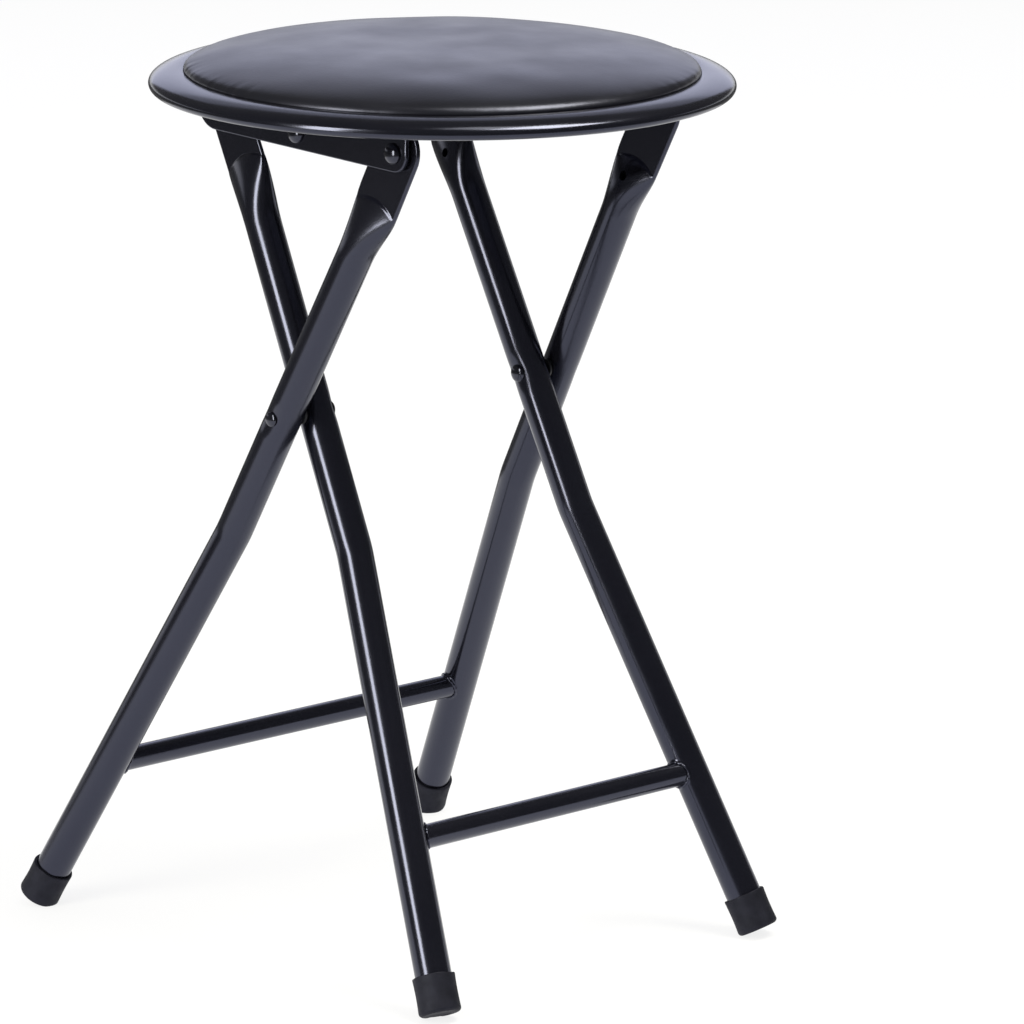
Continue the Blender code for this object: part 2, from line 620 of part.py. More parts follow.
def build_screw(name, x, y, parent, targets):
    """Screw up through flange and pan into the board, and the hole that it fills."""
    head_seat = BRACKET_TOP - BRACKET_WALL - GAP
    tip = BOARD_BASE + BOARD_THICKNESS - SCREW_TIP_COVER
    profile = ellipse_arc((0, head_seat), SCREW_HEAD_RADIUS, SCREW_HEAD_HEIGHT, -90, 0, 3)
    profile += [(SCREW_RADIUS, head_seat), (SCREW_RADIUS, tip - SCREW_RADIUS), (0, tip)]
    node(name, lathe(profile, FIXING_SIDES), parent, ZINC, (x, y, 0))
    radius = SCREW_RADIUS + HOLE_CLEARANCE
    low, high = head_seat - GAP, tip + GAP
    drill = lathe([(0, low), (radius, low), (radius, high), (0, high)], HOLE_SIDES)
    cutter = node(name + "_hole", drill, parent, None, (x, y, 0))
    for target in targets:
        boolean(target, cutter)


def build_links(side, end, seat):
    """Link from the seat's link rivet to the inner leg's top, with its own outer stud."""
    link = joint_frame("link_axis_" + end, (-LINK_ARM, 0, 0), parent=seat)
    half = LINK_WIDTH / 2
    outline = arc((0, 0), half, -90, 90, 8) + arc((-LINK_LENGTH, 0), half, 90, 270, 8)
    shape = prism(outline, LINK_INNER_FACE, LINK_FACE, upright_plate(side))
    plate = node("seat_link_" + end, shape, link, POWDER_COAT)
    reach = (side * (LINK_INNER_FACE - GAP), side * (LINK_FACE + GAP))
    hole("link_rivet_hole_" + end, plate, link, 0, 0, HOLE_RADIUS, *reach)
    hole("link_stud_hole_" + end, plate, link, -LINK_LENGTH, 0, HOLE_RADIUS, *reach)
    seat_face = LINK_FACE + GAP
    stud = ellipse_arc((0, seat_face), RIVET_HEAD_RADIUS, RIVET_HEAD_HEIGHT, 90, 0, 4)
    stud += [(RIVET_RADIUS, seat_face), (RIVET_RADIUS, LINK_INNER_FACE), (0, LINK_INNER_FACE)]
    build_rivet("link_stud_" + end, stud, side, link, -LINK_LENGTH)


def build_seat(seat):
    """Pan, cushion, brackets and the rivets that join the seat to the legs and links."""
    pan = build_pan(seat)
    cover, core, board = build_cushion(seat)
    for side, end in ((-1, "right"), (1, "left")):
        bracket = build_bracket(end, side, seat)
        for way, place in ((-1, "back"), (1, "front")):
            build_screw("seat_screw_%s_%s" % (place, end), way * SCREW_SPACING - SEAT_CENTRE_TO_PIVOT,
                        side * SCREW_Y, seat, (bracket, pan, cover, core, board))
        pivot = rivet_profile(BRACKET_FACE + GAP, OUTER_TAB_INNER_FACE - GAP)
        build_rivet("seat_pivot_rivet_" + end, pivot, side, seat)
        build_ring("pivot_washer_" + end, WASHER_RADIUS, HOLE_RADIUS, OUTER_TAB_FACE + GAP,
                   BRACKET_INNER_FACE - GAP, side, seat, NYLON)
        rivet = rivet_profile(BRACKET_FACE + GAP, LINK_INNER_FACE - GAP)
        build_rivet("link_rivet_" + end, rivet, side, seat, -LINK_ARM)
        build_ring("link_sleeve_" + end, HOLE_RADIUS + SLEEVE_WALL, HOLE_RADIUS, LINK_FACE + GAP,
                   BRACKET_INNER_FACE - GAP, side, seat, ZINC, -LINK_ARM)
        build_links(side, end, seat)


def build_floor_cut():
    """Guide block below the floor, which flattens the caps where they stand."""
    half = CROSSING_HEIGHT
    outline = [(-half, -half), (half, -half), (half, half), (-half, half)]
    block = prism(outline, -CAP_LENGTH, 0, lambda u, v, depth: (u, v, depth))
    return node("floor_cut", block, None, None)


def print_joints():
    """Print the joints' places and ranges, for the record of how the stool moves."""
    fold = OUTER_LEAN + INNER_LEAN - FOLDED_LEG_ANGLE
    tilt = math.pi / 2 + OUTER_LEAN + FOLDED_SEAT_LEAN
    rivet = OUTER_PIVOT + turned(0, LINK_ARM, FOLDED_SEAT_LEAN)
    stud = turned(INNER_PIVOT_X, PIVOT_RISE, INNER_LEAN - FOLDED_LEG_ANGLE)
    along = stud - rivet
    swing = math.atan2(along.x, along.y) + math.pi / 2 + OUTER_LEAN
    link = (swing + math.pi) % math.tau - math.pi - tilt
    pivot_z = CROSSING_HEIGHT + PIVOT_RISE
    print("fold axis", CROSSING_X, CROSSING_HEIGHT, "range", math.degrees(fold))
    print("seat axis", CROSSING_X + PIVOT_X, pivot_z, "range", math.degrees(tilt), tilt / fold)
    print("link axis", CROSSING_X + LINK_PIVOT_X, pivot_z, "range", math.degrees(link), link / fold)
    print("inner pivot", CROSSING_X + INNER_PIVOT_X, pivot_z, "link length", LINK_LENGTH)
    print("pan underside", pivot_z + PAN_ABOVE_PIVOT, "seat centre x",
          CROSSING_X + PIVOT_X - SEAT_CENTRE_TO_PIVOT)
    for name, leg in (("outer", OUTER), ("inner", INNER)):
        axis = Matrix.Rotation(leg.lean, 3, "Y") @ leg.foot_axis()
        floor = Matrix.Rotation(leg.lean, 3, "Y") @ leg.foot_point(0)
        downhill = -(Vector((0, 0, 1)) - axis * axis.z).normalized()
        ring = floor + axis * CAP_EDGE_RADIUS + downhill * (CAP_RADIUS - CAP_EDGE_RADIUS)
        print(name, "foot flat", CROSSING_X + ring.x, ring.y)


for old in list(bpy.data.objects):
    bpy.data.objects.remove(old, do_unlink=True)

POWDER_COAT = material("black_powder_coat", (0.016, 0.016, 0.02), 0.32, 0.3)
BRIGHT_BLACK = material("black_rivet", (0.012, 0.012, 0.016), 0.18, 0.6)
RUBBER = material("black_rubber", (0.022, 0.022, 0.024), 0.72)
VINYL = material("black_vinyl", (0.018, 0.018, 0.022), 0.42)
FOAM = material("grey_foam", (0.42, 0.41, 0.38), 0.95)
PLYWOOD = material("plywood", (0.52, 0.36, 0.2), 0.75)
NYLON = material("dark_nylon", (0.05, 0.05, 0.055), 0.5)
ZINC = material("zinc_plate", (0.5, 0.5, 0.5), 0.35, 1.0)

outer_frame = joint_frame("outer_frame_axis", (CROSSING_X, 0, CROSSING_HEIGHT), OUTER_LEAN)
inner_frame = joint_frame("inner_frame_axis", (CROSSING_X, 0, CROSSING_HEIGHT), -INNER_LEAN)
seat_frame = joint_frame("seat_axis", (CROSSING_X + PIVOT_X, 0, CROSSING_HEIGHT + PIVOT_RISE))
build_frames(outer_frame, inner_frame, build_floor_cut())
build_seat(seat_frame)
print_joints()
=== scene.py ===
# %% [markdown]
# A round folding stool: a padded vinyl seat in a steel pan, on two crossed leg frames.
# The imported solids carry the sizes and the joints. This lesson dresses them: each piece
# that shows is modelled again with its fine form, and gets a finish made from nodes.

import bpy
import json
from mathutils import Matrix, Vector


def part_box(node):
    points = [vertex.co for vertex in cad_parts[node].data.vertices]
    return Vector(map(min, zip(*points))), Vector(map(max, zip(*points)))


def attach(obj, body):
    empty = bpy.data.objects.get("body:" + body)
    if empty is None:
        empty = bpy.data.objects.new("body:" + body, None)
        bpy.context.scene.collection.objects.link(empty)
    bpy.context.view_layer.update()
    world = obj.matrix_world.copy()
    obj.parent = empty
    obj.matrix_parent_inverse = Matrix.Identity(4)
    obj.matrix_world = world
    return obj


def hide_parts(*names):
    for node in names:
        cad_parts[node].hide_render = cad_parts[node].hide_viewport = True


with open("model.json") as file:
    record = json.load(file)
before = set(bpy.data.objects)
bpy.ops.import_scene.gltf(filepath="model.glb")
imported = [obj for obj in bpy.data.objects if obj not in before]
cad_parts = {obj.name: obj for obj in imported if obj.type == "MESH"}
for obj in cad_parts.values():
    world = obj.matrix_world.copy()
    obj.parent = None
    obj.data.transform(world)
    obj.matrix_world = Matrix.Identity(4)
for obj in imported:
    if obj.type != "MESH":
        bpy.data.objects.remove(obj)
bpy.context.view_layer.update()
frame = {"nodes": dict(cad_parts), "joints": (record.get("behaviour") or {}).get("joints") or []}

import json
import math

import bmesh
import bpy
import numpy as np
from mathutils import Matrix, Vector, noise

MM = 0.001
SIDES = ((-1, "right"), (1, "left"))

# %% [markdown]
# The camera stands where the photograph was taken from: to the right of the stool's near
# side, a little above the seat, and far off with a long lens. A long lens keeps the legs
# almost parallel, which is why the picture looks so flat. The view is built from three
# directions, so that the small roll of the camera needs no empty to aim at.

# %% Camera
VIEW_AZIMUTH = math.radians(47.72)
VIEW_ELEVATION = math.radians(13.64)
VIEW_ROLL = math.radians(0.47)
VIEW_DISTANCE = 3.501
VIEW_CENTRE = Vector((0.0683, -0.0001, 0.2358))
LENS = 236.6


def direction(azimuth, elevation):
    """Unit vector from the stool towards an azimuth and an elevation."""
    return Vector((math.sin(azimuth) * math.cos(elevation),
                   -math.cos(azimuth) * math.cos(elevation), math.sin(elevation)))


def add_object(name, data):
    """Object in the scene for a mesh, curve, camera or lamp."""
    made = bpy.data.objects.new(name, data)
    bpy.context.scene.collection.objects.link(made)
    return made


to_camera = direction(VIEW_AZIMUTH, VIEW_ELEVATION)
level_right = Vector((math.cos(VIEW_AZIMUTH), math.sin(VIEW_AZIMUTH), 0))
level_up = to_camera.cross(level_right)
view_right = level_right * math.cos(VIEW_ROLL) + level_up * math.sin(VIEW_ROLL)
view_up = level_up * math.cos(VIEW_ROLL) - level_right * math.sin(VIEW_ROLL)
camera = add_object("camera", bpy.data.cameras.new("camera"))
camera.data.lens = LENS
camera.data.clip_end = 50
camera.matrix_world = Matrix((view_right, view_up, to_camera)).transposed().to_4x4()
camera.location = VIEW_CENTRE + to_camera * VIEW_DISTANCE
bpy.context.scene.camera = camera
print("camera at", [round(value, 3) for value in camera.location])

# %% [markdown]
# Materials and Geometry Nodes are trees of nodes. Four helpers build them. One makes a tree
# with named inputs and outputs, one adds a node and fills its sockets, and two more add the
# nodes that do sums and ramps.

# %% Node helpers
def new_tree(name, kind, inputs, outputs):
    """Node tree. An input has its default value, or the kind of its socket."""
    tree = bpy.data.node_groups.new(name, kind)
    for label, value in inputs:
        plain = "Int" if isinstance(value, int) else "Float"
        carries = value if isinstance(value, str) else plain
        socket = tree.interface.new_socket(label, in_out="INPUT",
                                           socket_type="NodeSocket" + carries)
        if carries != value:
            socket.default_value = value
    for label, carries in outputs:
        tree.interface.new_socket(label, in_out="OUTPUT", socket_type="NodeSocket" + carries)
    return tree, tree.nodes.new("NodeGroupInput").outputs, tree.nodes.new("NodeGroupOutput").inputs


def add_node(tree, kind, links=None, **settings):
    """Node with its settings, and sockets filled from values or other sockets."""
    made = tree.nodes.new(kind)
    for name, value in settings.items():
        setattr(made, name, value)
    for name, value in (links or {}).items():
        socket = made.inputs[name]
        if isinstance(value, bpy.types.NodeSocket):
            tree.links.new(value, socket)
        else:
            socket.default_value = value
    return made


def sums(tree, operation, *values):
    """Result of a Math node."""
    made = add_node(tree, "ShaderNodeMath", dict(enumerate(values)), operation=operation)
    return made.outputs[0]


def ramp(tree, value, low, high, start=0.0, end=1.0, **settings):
    """From one value to another while a third goes from low to high."""
    ends = {"Value": value, "From Min": low, "From Max": high, "To Min": start, "To Max": end}
    return add_node(tree, "ShaderNodeMapRange", ends, **settings).outputs[0]


# %% [markdown]
# Every finish varies a little over its surface, and two small node groups give that to all
# of them. One makes a fine relief from two sizes of grain, and the other makes slow, cloudy
# changes. A material only has to say how large the grain is.

# %% Node groups
def per_metre(tree, size):
    """Texture scale that gives features of a size in millimetres."""
    return sums(tree, "DIVIDE", 1000.0, size)


def relief_group():
    """Two sizes of grain, laid over each other as a height from 0 to 1."""
    inputs = [("Grain Size", 1.0), ("Pebble Size", 2.0), ("Pebble Share", 0.5)]
    group, given, result = new_tree("fine_relief", "ShaderNodeTree", inputs, [("Height", "Float")])
    place = group.nodes.new("ShaderNodeTexCoord").outputs["Object"]
    grain = add_node(group, "ShaderNodeTexNoise",
                     {"Vector": place, "Scale": per_metre(group, given["Grain Size"]),
                      "Detail": 2.0, "Roughness": 0.55})
    pebble = add_node(group, "ShaderNodeTexVoronoi",
                      {"Vector": place, "Scale": per_metre(group, given["Pebble Size"]),
                       "Smoothness": 0.6}, feature="SMOOTH_F1")
    mixed = add_node(group, "ShaderNodeMix",
                     {0: given["Pebble Share"], 2: grain.outputs["Fac"],
                      3: pebble.outputs["Distance"]})
    group.links.new(mixed.outputs[0], result["Height"])
    return group


def cloud_group():
    """Slow change between a low and a high value."""
    inputs = [("Cloud Size", 40.0), ("Low", 0.3), ("High", 0.4)]
    group, given, result = new_tree("slow_clouds", "ShaderNodeTree", inputs, [("Value", "Float")])
    place = group.nodes.new("ShaderNodeTexCoord").outputs["Object"]
    clouds = add_node(group, "ShaderNodeTexNoise",
                      {"Vector": place, "Scale": per_metre(group, given["Cloud Size"]),
                       "Detail": 3.0})
    spread = ramp(group, clouds.outputs["Fac"], 0.3, 0.7, given["Low"], given["High"])
    group.links.new(spread, result["Value"])
    return group


FINE_RELIEF = relief_group()
SLOW_CLOUDS = cloud_group()
print("node groups:", [group.name for group in bpy.data.node_groups])

# %% [markdown]
# A finish is one Principled shader with three things fed in: a colour between two close
# tones, a roughness between two values, and a bump from the relief group. Fixed numbers
# such as the metallic share are set on the shader itself. Sizes of clouds and grain, and
# the depth of the relief, are in millimetres.


def finish(slot, name, dark, light, roughness, cloud, grain, pebble, share, depth, **fixed):
    """Material with clouded colour and roughness, and a fine relief."""
    made = bpy.data.materials.new(name)
    made.use_nodes = True
    tree = made.node_tree
    tone = add_node(tree, "ShaderNodeGroup", {"Cloud Size": cloud, "Low": 0.0, "High": 1.0},
                    node_tree=SLOW_CLOUDS)
    colour = add_node(tree, "ShaderNodeMix", {0: tone.outputs[0], 6: (*dark, 1), 7: (*light, 1)},
                      data_type="RGBA")
    gloss = add_node(tree, "ShaderNodeGroup",
                     {"Cloud Size": cloud * 0.6, "Low": roughness[0], "High": roughness[1]},
                     node_tree=SLOW_CLOUDS)
    relief = add_node(tree, "ShaderNodeGroup",
                      {"Grain Size": grain, "Pebble Size": pebble, "Pebble Share": share},
                      node_tree=FINE_RELIEF)
    bump = add_node(tree, "ShaderNodeBump", {"Strength": 1.0, "Distance": depth * MM,
                                             "Height": relief.outputs["Height"]})
    shader = tree.nodes["Principled BSDF"]
    tree.links.new(colour.outputs[2], shader.inputs["Base Color"])
    tree.links.new(gloss.outputs["Value"], shader.inputs["Roughness"])
    tree.links.new(bump.outputs["Normal"], shader.inputs["Normal"])
    for label, value in fixed.items():
        shader.inputs[label.replace("_", " ")].default_value = value
    return made


POWDER_COAT = finish("powder_coat", "satin_powder_coat", (0.0025, 0.0025, 0.004),
                     (0.004, 0.004, 0.006), (0.15, 0.20), 60, 1.6, 2.4, 0.25, 0.006,
                     Specular_IOR_Level=0.85, Specular_Tint=(0.66, 0.70, 1.0, 1.0))
RIVET_BLACK = finish("rivet", "glossy_rivet_black", (0.002, 0.002, 0.003),
                     (0.005, 0.005, 0.007), (0.12, 0.18), 6, 0.8, 1.5, 0.2, 0.003,
                     Specular_IOR_Level=0.8, Specular_Tint=(0.70, 0.74, 1.0, 1.0))
VINYL = finish("vinyl", "grained_vinyl", (0.003, 0.003, 0.0045), (0.006, 0.006, 0.008),
               (0.28, 0.36), 70, 0.9, 1.5, 0.6, 0.045,
               Specular_IOR_Level=0.70, Specular_Tint=(0.70, 0.73, 1.0, 1.0))
RUBBER = finish("rubber", "matt_rubber", (0.004, 0.004, 0.007), (0.009, 0.009, 0.015),
                (0.55, 0.72), 9, 0.7, 3.0, 0.4, 0.06,
                Specular_IOR_Level=0.28, Specular_Tint=(0.74, 0.78, 1.0, 1.0))
NYLON = finish("nylon", "dark_nylon", (0.007, 0.007, 0.010), (0.013, 0.013, 0.017),
               (0.42, 0.52), 8, 0.5, 1.2, 0.3, 0.01)
ZINC = finish("zinc", "zinc_plate", (0.42, 0.42, 0.43), (0.56, 0.56, 0.56),
              (0.26, 0.40), 5, 0.3, 1.1, 0.3, 0.008, Metallic=1.0)
FOAM = finish("foam", "open_foam", (0.36, 0.35, 0.32), (0.46, 0.45, 0.42),
              (0.92, 0.98), 25, 1.2, 1.8, 0.8, 0.5)
PLYWOOD = finish("plywood", "raw_plywood", (0.40, 0.26, 0.14), (0.60, 0.44, 0.27),
                 (0.62, 0.74), 30, 0.8, 2.0, 0.2, 0.05)


def draw_grain(material):
    """Swap the clouds of a material's colour for wood grain, drawn out along X."""
    tree = material.node_tree
    place = tree.nodes.new("ShaderNodeTexCoord").outputs["Object"]
    drawn = add_node(tree, "ShaderNodeMapping", {"Vector": place, "Scale": (9.0, 110.0, 110.0)})
    streaks = add_node(tree, "ShaderNodeTexNoise",
                       {"Vector": drawn.outputs["Vector"], "Scale": 3.0, "Detail": 6.0,
                        "Distortion": 0.4})
    mix = next(node for node in tree.nodes if node.bl_idname == "ShaderNodeMix")
    tree.links.new(streaks.outputs["Fac"], mix.inputs[0])


draw_grain(PLYWOOD)

# %% [markdown]
# Most pieces are made from points worked out in code. These helpers turn a profile about
# an axis, skin rings of points, and cut holes.

# %% Mesh helpers
SHARP_EDGE = math.radians(35)
RIVET_HOLE = 3.3 * MM
DRILL_SIDES = 40


def arc(centre, across, up, start, end, steps):
    """Points round part of an ellipse, by angles in degrees."""
    angles = [math.radians(start + (end - start) * i / steps) for i in range(steps + 1)]
    return [(centre[0] + across * math.cos(a), centre[1] + up * math.sin(a)) for a in angles]


def turns(count):
    """Equal steps round a circle."""
    return [math.tau * i / count for i in range(count)]


def eased(share):
    """Ease from 0 to 1."""
    share = min(max(share, 0.0), 1.0)
    return share * share * (3 - 2 * share)


def turned_shape(profile, sides, place, closed=False):
    """Turn a profile of (radius, height) points about Z, then move it to its place."""
    shape = bmesh.new()
    ring = [shape.verts.new((radius, 0, height)) for radius, height in profile]
    ends = ring[1:] + ring[:1] if closed else ring[1:]
    edges = [shape.edges.new(pair) for pair in zip(ring, ends)]
    bmesh.ops.spin(shape, geom=ring + edges, cent=(0, 0, 0), axis=(0, 0, 1),
                   angle=math.tau, steps=sides, use_merge=True)
    bmesh.ops.remove_doubles(shape, verts=shape.verts, dist=1e-6)
    bmesh.ops.transform(shape, matrix=place, verts=shape.verts)
    return shape


def skinned_shape(rings, closed=False):
    """Skin rings of equal count, with a face across each end or closed on themselves."""
    shape = bmesh.new()
    rows = [[shape.verts.new(point) for point in ring] for ring in rings]
    for lower, upper in zip(rows, rows[1:] + rows[:1] if closed else rows[1:]):
        for i in range(len(lower)):
            j = (i + 1) % len(lower)
            shape.faces.new((lower[i], lower[j], upper[j], upper[i]))
    if not closed:
        shape.faces.new(rows[0][::-1])
        shape.faces.new(rows[-1])
    return shape


def shade(mesh, sharp=SHARP_EDGE):
    """Shade smooth, apart from edges sharper than an angle."""
    mesh.shade_smooth()
    mesh.set_sharp_from_angle(angle=sharp)


def new_piece(name, shape, material):
    """Object at the origin from a bmesh, with its faces pointing out."""
    bmesh.ops.recalc_face_normals(shape, faces=shape.faces)
    mesh = bpy.data.meshes.new(name)
    shape.to_mesh(mesh)
    shape.free()
    shade(mesh)
    mesh.materials.append(material)
    return add_object(name, mesh)


def evaluated_mesh(piece):
    """Mesh that a piece's modifiers make of it."""
    bpy.context.view_layer.update()
    evaluated = piece.evaluated_get(bpy.context.evaluated_depsgraph_get())
    return bpy.data.meshes.new_from_object(evaluated)


def apply_modifiers(piece, sharp=SHARP_EDGE):
    """Replace a piece's mesh by what its modifiers make of it."""
    mesh = evaluated_mesh(piece)
    piece.modifiers.clear()
    piece.data = mesh
    shade(mesh, sharp)


def cut(piece, cutter, operation="DIFFERENCE"):
    """Cut one shape from a piece, or join it to the piece, and drop the cutter."""
    modifier = piece.modifiers.new("cut", "BOOLEAN")
    modifier.operation = operation
    modifier.solver = "EXACT"
    modifier.object = cutter
    apply_modifiers(piece)
    bpy.data.objects.remove(cutter, do_unlink=True)


def drill(piece, side, x, z, near, far, radius=RIVET_HOLE):
    """Round hole along Y on one side of the stool, between two distances out."""
    low, high = sorted((side * near, side * far))
    profile = [(0, low), (radius, low), (radius, high), (0, high)]
    place = Matrix.Translation((x, 0, z)) @ Matrix.Rotation(-math.pi / 2, 4, "X")
    cut(piece, new_piece("drill", turned_shape(profile, DRILL_SIDES, place), POWDER_COAT))


# %% [markdown]
# A finished piece moves with a body and stands for one or more solids. The print tells
# how far its box is from the box of its solids.

# %% Mounting
def mesh_arrays(mesh):
    """Points of a mesh and their normals, as arrays."""
    both = []
    for name in ("co", "normal"):
        values = np.empty(len(mesh.vertices) * 3, dtype=np.float32)
        mesh.vertices.foreach_get(name, values)
        both.append(values.reshape(-1, 3))
    return both


def mount_piece(piece, body, nodes=()):
    """Make a piece move with a body and stand for its solids."""
    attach(piece, body)
    told = f"{piece.name}: {len(piece.data.polygons)} faces"
    if nodes:
        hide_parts(*nodes)
        points = mesh_arrays(piece.data)[0]
        boxes = np.array([[list(corner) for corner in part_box(node)] for node in nodes])
        off = np.abs([points.min(axis=0) - boxes[:, 0].min(axis=0),
                      points.max(axis=0) - boxes[:, 1].max(axis=0)]).max()
        told += f", box within {off / MM:.2f} mm of its solids"
    print(told)


def both_ends(node):
    """A node's name with its ends, left and right."""
    return [node + "_left", node + "_right"]


# %% [markdown]
# The frame tells where things are. The three joints give the axes on which the stool
# folds, and the boxes of the solids give the seat's middle and radius. The sizes of the
# pressed tube follow, as a pipe bender would note them: lean of each frame, splay above
# and below the knee, and where the tube is pressed flat.

# %% Sizes
joint_place = {joint["name"]: Vector(joint["pos_m"]) for joint in frame["joints"]}
crossing = joint_place["fold"]
seat_pivot = joint_place["seat_tilt"]
link_pivot = joint_place["link_swing_left"]
inner_pivot = sum(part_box("inner_pivot_stud_left"), Vector((0, 0, 0))) / 2
pan_low, pan_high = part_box("seat_pan")
seat_radius = (pan_high.y - pan_low.y) / 2
seat_x = (pan_low.x + pan_high.x) / 2

TUBE_RADIUS = 9.5 * MM
TUBE_WALL = 1.2 * MM
KNEE_DROP = 76 * MM
KNEE_BEND_RADIUS = 70 * MM
KNEE_STEPS = 10
TAB_WIDTH = 31 * MM
TAB_THICKNESS = 2.6 * MM
TAB_DROP = 31 * MM
SCOOP_LENGTH = 36 * MM
SCOOP_END = TAB_DROP + SCOOP_LENGTH
BAR_RADIUS = 6.3 * MM
BAR_WALL = 1.0 * MM
CAP_RADIUS = 11.1 * MM
CAP_LENGTH = 20 * MM
CAP_FLOOR = 3 * MM
CAP_EDGE = 2 * MM
CAP_WORN = 0.8 * MM
GAP = 0.3 * MM
print("seat radius", round(seat_radius / MM, 1), "mm, middle at x", round(seat_x / MM, 1), "mm")

# %% [markdown]
# The two frames share one rule and differ in a few numbers, so a leg is described once.
# Its own z axis runs up the leg from the crossing rivet, and y is the distance out from
# the stool's middle plane. `world` turns such a point into the stool's axes.

# %% Leg rule
class Leg:
    """Where one leg runs, in its frame's own axes."""

    def __init__(self, frame_name, side, end, pivot, lean, half_spacing, upper_splay,
                 lower_splay, bar_drop, nose_drop, nose_skew):
        self.frame_name = frame_name
        self.body = frame_name + "_frame"
        self.side = side
        self.end = end
        self.lean, self.upper_splay, self.lower_splay = map(
            math.radians, (lean, upper_splay, lower_splay))
        self.half_spacing = half_spacing * MM
        self.bar_drop = bar_drop * MM
        self.nose_drop = nose_drop * MM
        self.nose_skew = nose_skew * MM
        across = pivot - crossing
        self.pivot_x = across.x * math.cos(self.lean) - across.z * math.sin(self.lean)
        self.pivot_z = across.x * math.sin(self.lean) + across.z * math.cos(self.lean)
        self.knee_y = self.half_spacing + KNEE_DROP * math.tan(self.upper_splay)
        self.tab_y = self.half_spacing - (self.pivot_z - TAB_DROP) * math.tan(self.upper_splay)
        self.foot_z = self.cap_floor_height()

    def nose_arch(self, cosine):
        """How much lower the nose's edge lies across the leg, from -1 at its back to 1."""
        return NOSE_SAG * cosine ** 2 - self.nose_skew * cosine

    def world(self, x, y, z):
        """Point in the stool's axes."""
        return Vector((crossing.x + x * math.cos(self.lean) + z * math.sin(self.lean),
                       self.side * y,
                       crossing.z + z * math.cos(self.lean) - x * math.sin(self.lean)))

    def y_at(self, z):
        """Distance out of the tube's middle at a height."""
        if z > -KNEE_DROP:
            return self.half_spacing - z * math.tan(self.upper_splay)
        return self.knee_y - (z + KNEE_DROP) * math.tan(self.lower_splay)

    def middle(self, drop):
        """Middle (y, z) of the pressed part below the pivot, and how flat it is there."""
        z = self.pivot_z - drop
        flat = eased(1 - (drop - TAB_DROP) / SCOOP_LENGTH)
        return self.y_at(z) * (1 - flat) + self.tab_y * flat, z, flat

    def cap_floor_height(self):
        """Height of the middle of the cap's floor, whose worn edge touches the ground."""
        upright = math.cos(self.lower_splay) * math.cos(self.lean)
        ring = CAP_RADIUS - CAP_EDGE
        lowest = CAP_EDGE * (1 - upright) + ring * math.sin(math.acos(upright))
        return (lowest - CAP_WORN - crossing.z) / math.cos(self.lean)

    def foot_matrix(self):
        """Axes at the cap's floor, with +Z up the tube."""
        y = self.y_at(self.foot_z)
        origin = self.world(0, y, self.foot_z)
        above = self.world(0, y - math.sin(self.lower_splay),
                           self.foot_z + math.cos(self.lower_splay))
        turn = (above - origin).normalized().to_track_quat("Z", "Y")
        return Matrix.Translation(origin) @ turn.to_matrix().to_4x4()


NOSE_SAG = 5.2 * MM
OUTER_LEGS = [Leg("outer", *side, seat_pivot, 28.45, 96.5, 2.6, 9.0, 231.7, 31, 3)
              for side in SIDES]
INNER_LEGS = [Leg("inner", *side, inner_pivot, -26.6, 75.1, 1.9, 8.3, 228.5, 27, 0)
              for side in SIDES]
LEGS = OUTER_LEGS + INNER_LEGS
for leg in LEGS:
    print(leg.frame_name, leg.end, "tab plane at y", round(leg.tab_y / MM, 2), "mm")

# %% [markdown]
# The top of each leg is the tube itself, pressed flat in a die. The die leaves a nose: the
# round tube ends in an arch that stands proud of the flat tab, with a crisp little step
# along it. Rings of points are bowed to the same arch, so that the step runs along a row of
# edges and stays sharp. Below it the nose swells, first quickly and then slowly, into the
# full tube.

# %% Pressed tops
LEG_SIDES = 64
NOSE_STEP = 0.7 * MM
NOSE_STEP_RUN = 1.5 * MM
NOSE_SWELL = 2.3
ARCH_START = 4 * MM
TAB_END_TURNS = (0, 8, 16, 24, 32, 40, 48, 56, 63, 70, 76, 81, 85, 88)


def tab_half_width(drop):
    """Half the width of the leg, seen from its side, at a distance below the pivot."""
    flat = eased(1 - (drop - TAB_DROP) / SCOOP_LENGTH)
    return TUBE_RADIUS + (TAB_WIDTH / 2 - TUBE_RADIUS) * flat


def plate_half(width, cosine):
    """Half the flat plate's thickness, rounded at its edges; cosine runs across it."""
    plate = TAB_THICKNESS / 2
    from_edge = min(width * (1 - abs(cosine)) / plate, 1)
    return plate * math.sqrt(1 - (1 - from_edge) ** 2)


def half_thickness(leg, cosine, drop):
    """Half the leg's thickness where it is pressed."""
    flat = plate_half(tab_half_width(drop), cosine)
    nose_top = leg.nose_drop + leg.nose_arch(cosine)
    below = drop - nose_top
    if below <= 0:
        return flat
    swell = 1 - (1 - min(below / (SCOOP_END - nose_top), 1)) ** NOSE_SWELL
    section = TUBE_RADIUS * math.sqrt(max(0.0, 1 - cosine ** 2))
    step = NOSE_STEP * eased(below / NOSE_STEP_RUN) * (1 - swell) * (1 - cosine ** 4)
    return flat + (section - flat) * swell + step


def pressed_ring(leg, drop):
    """Ring of the pressed part, bowed to the nose's arch."""
    bow = eased((drop - ARCH_START) / (leg.nose_drop - ARCH_START))
    bow *= eased((SCOOP_END - drop) / (SCOOP_LENGTH - NOSE_SAG))
    ring = []
    for angle in turns(LEG_SIDES):
        cosine = math.cos(angle)
        low = drop + bow * leg.nose_arch(cosine)
        depth = math.copysign(half_thickness(leg, cosine, low), math.sin(angle))
        y, z, flat = leg.middle(low)
        lean = leg.upper_splay * (1 - flat)
        ring.append(leg.world(tab_half_width(low) * cosine, y + depth * math.cos(lean),
                              z + depth * math.sin(lean)))
    return ring


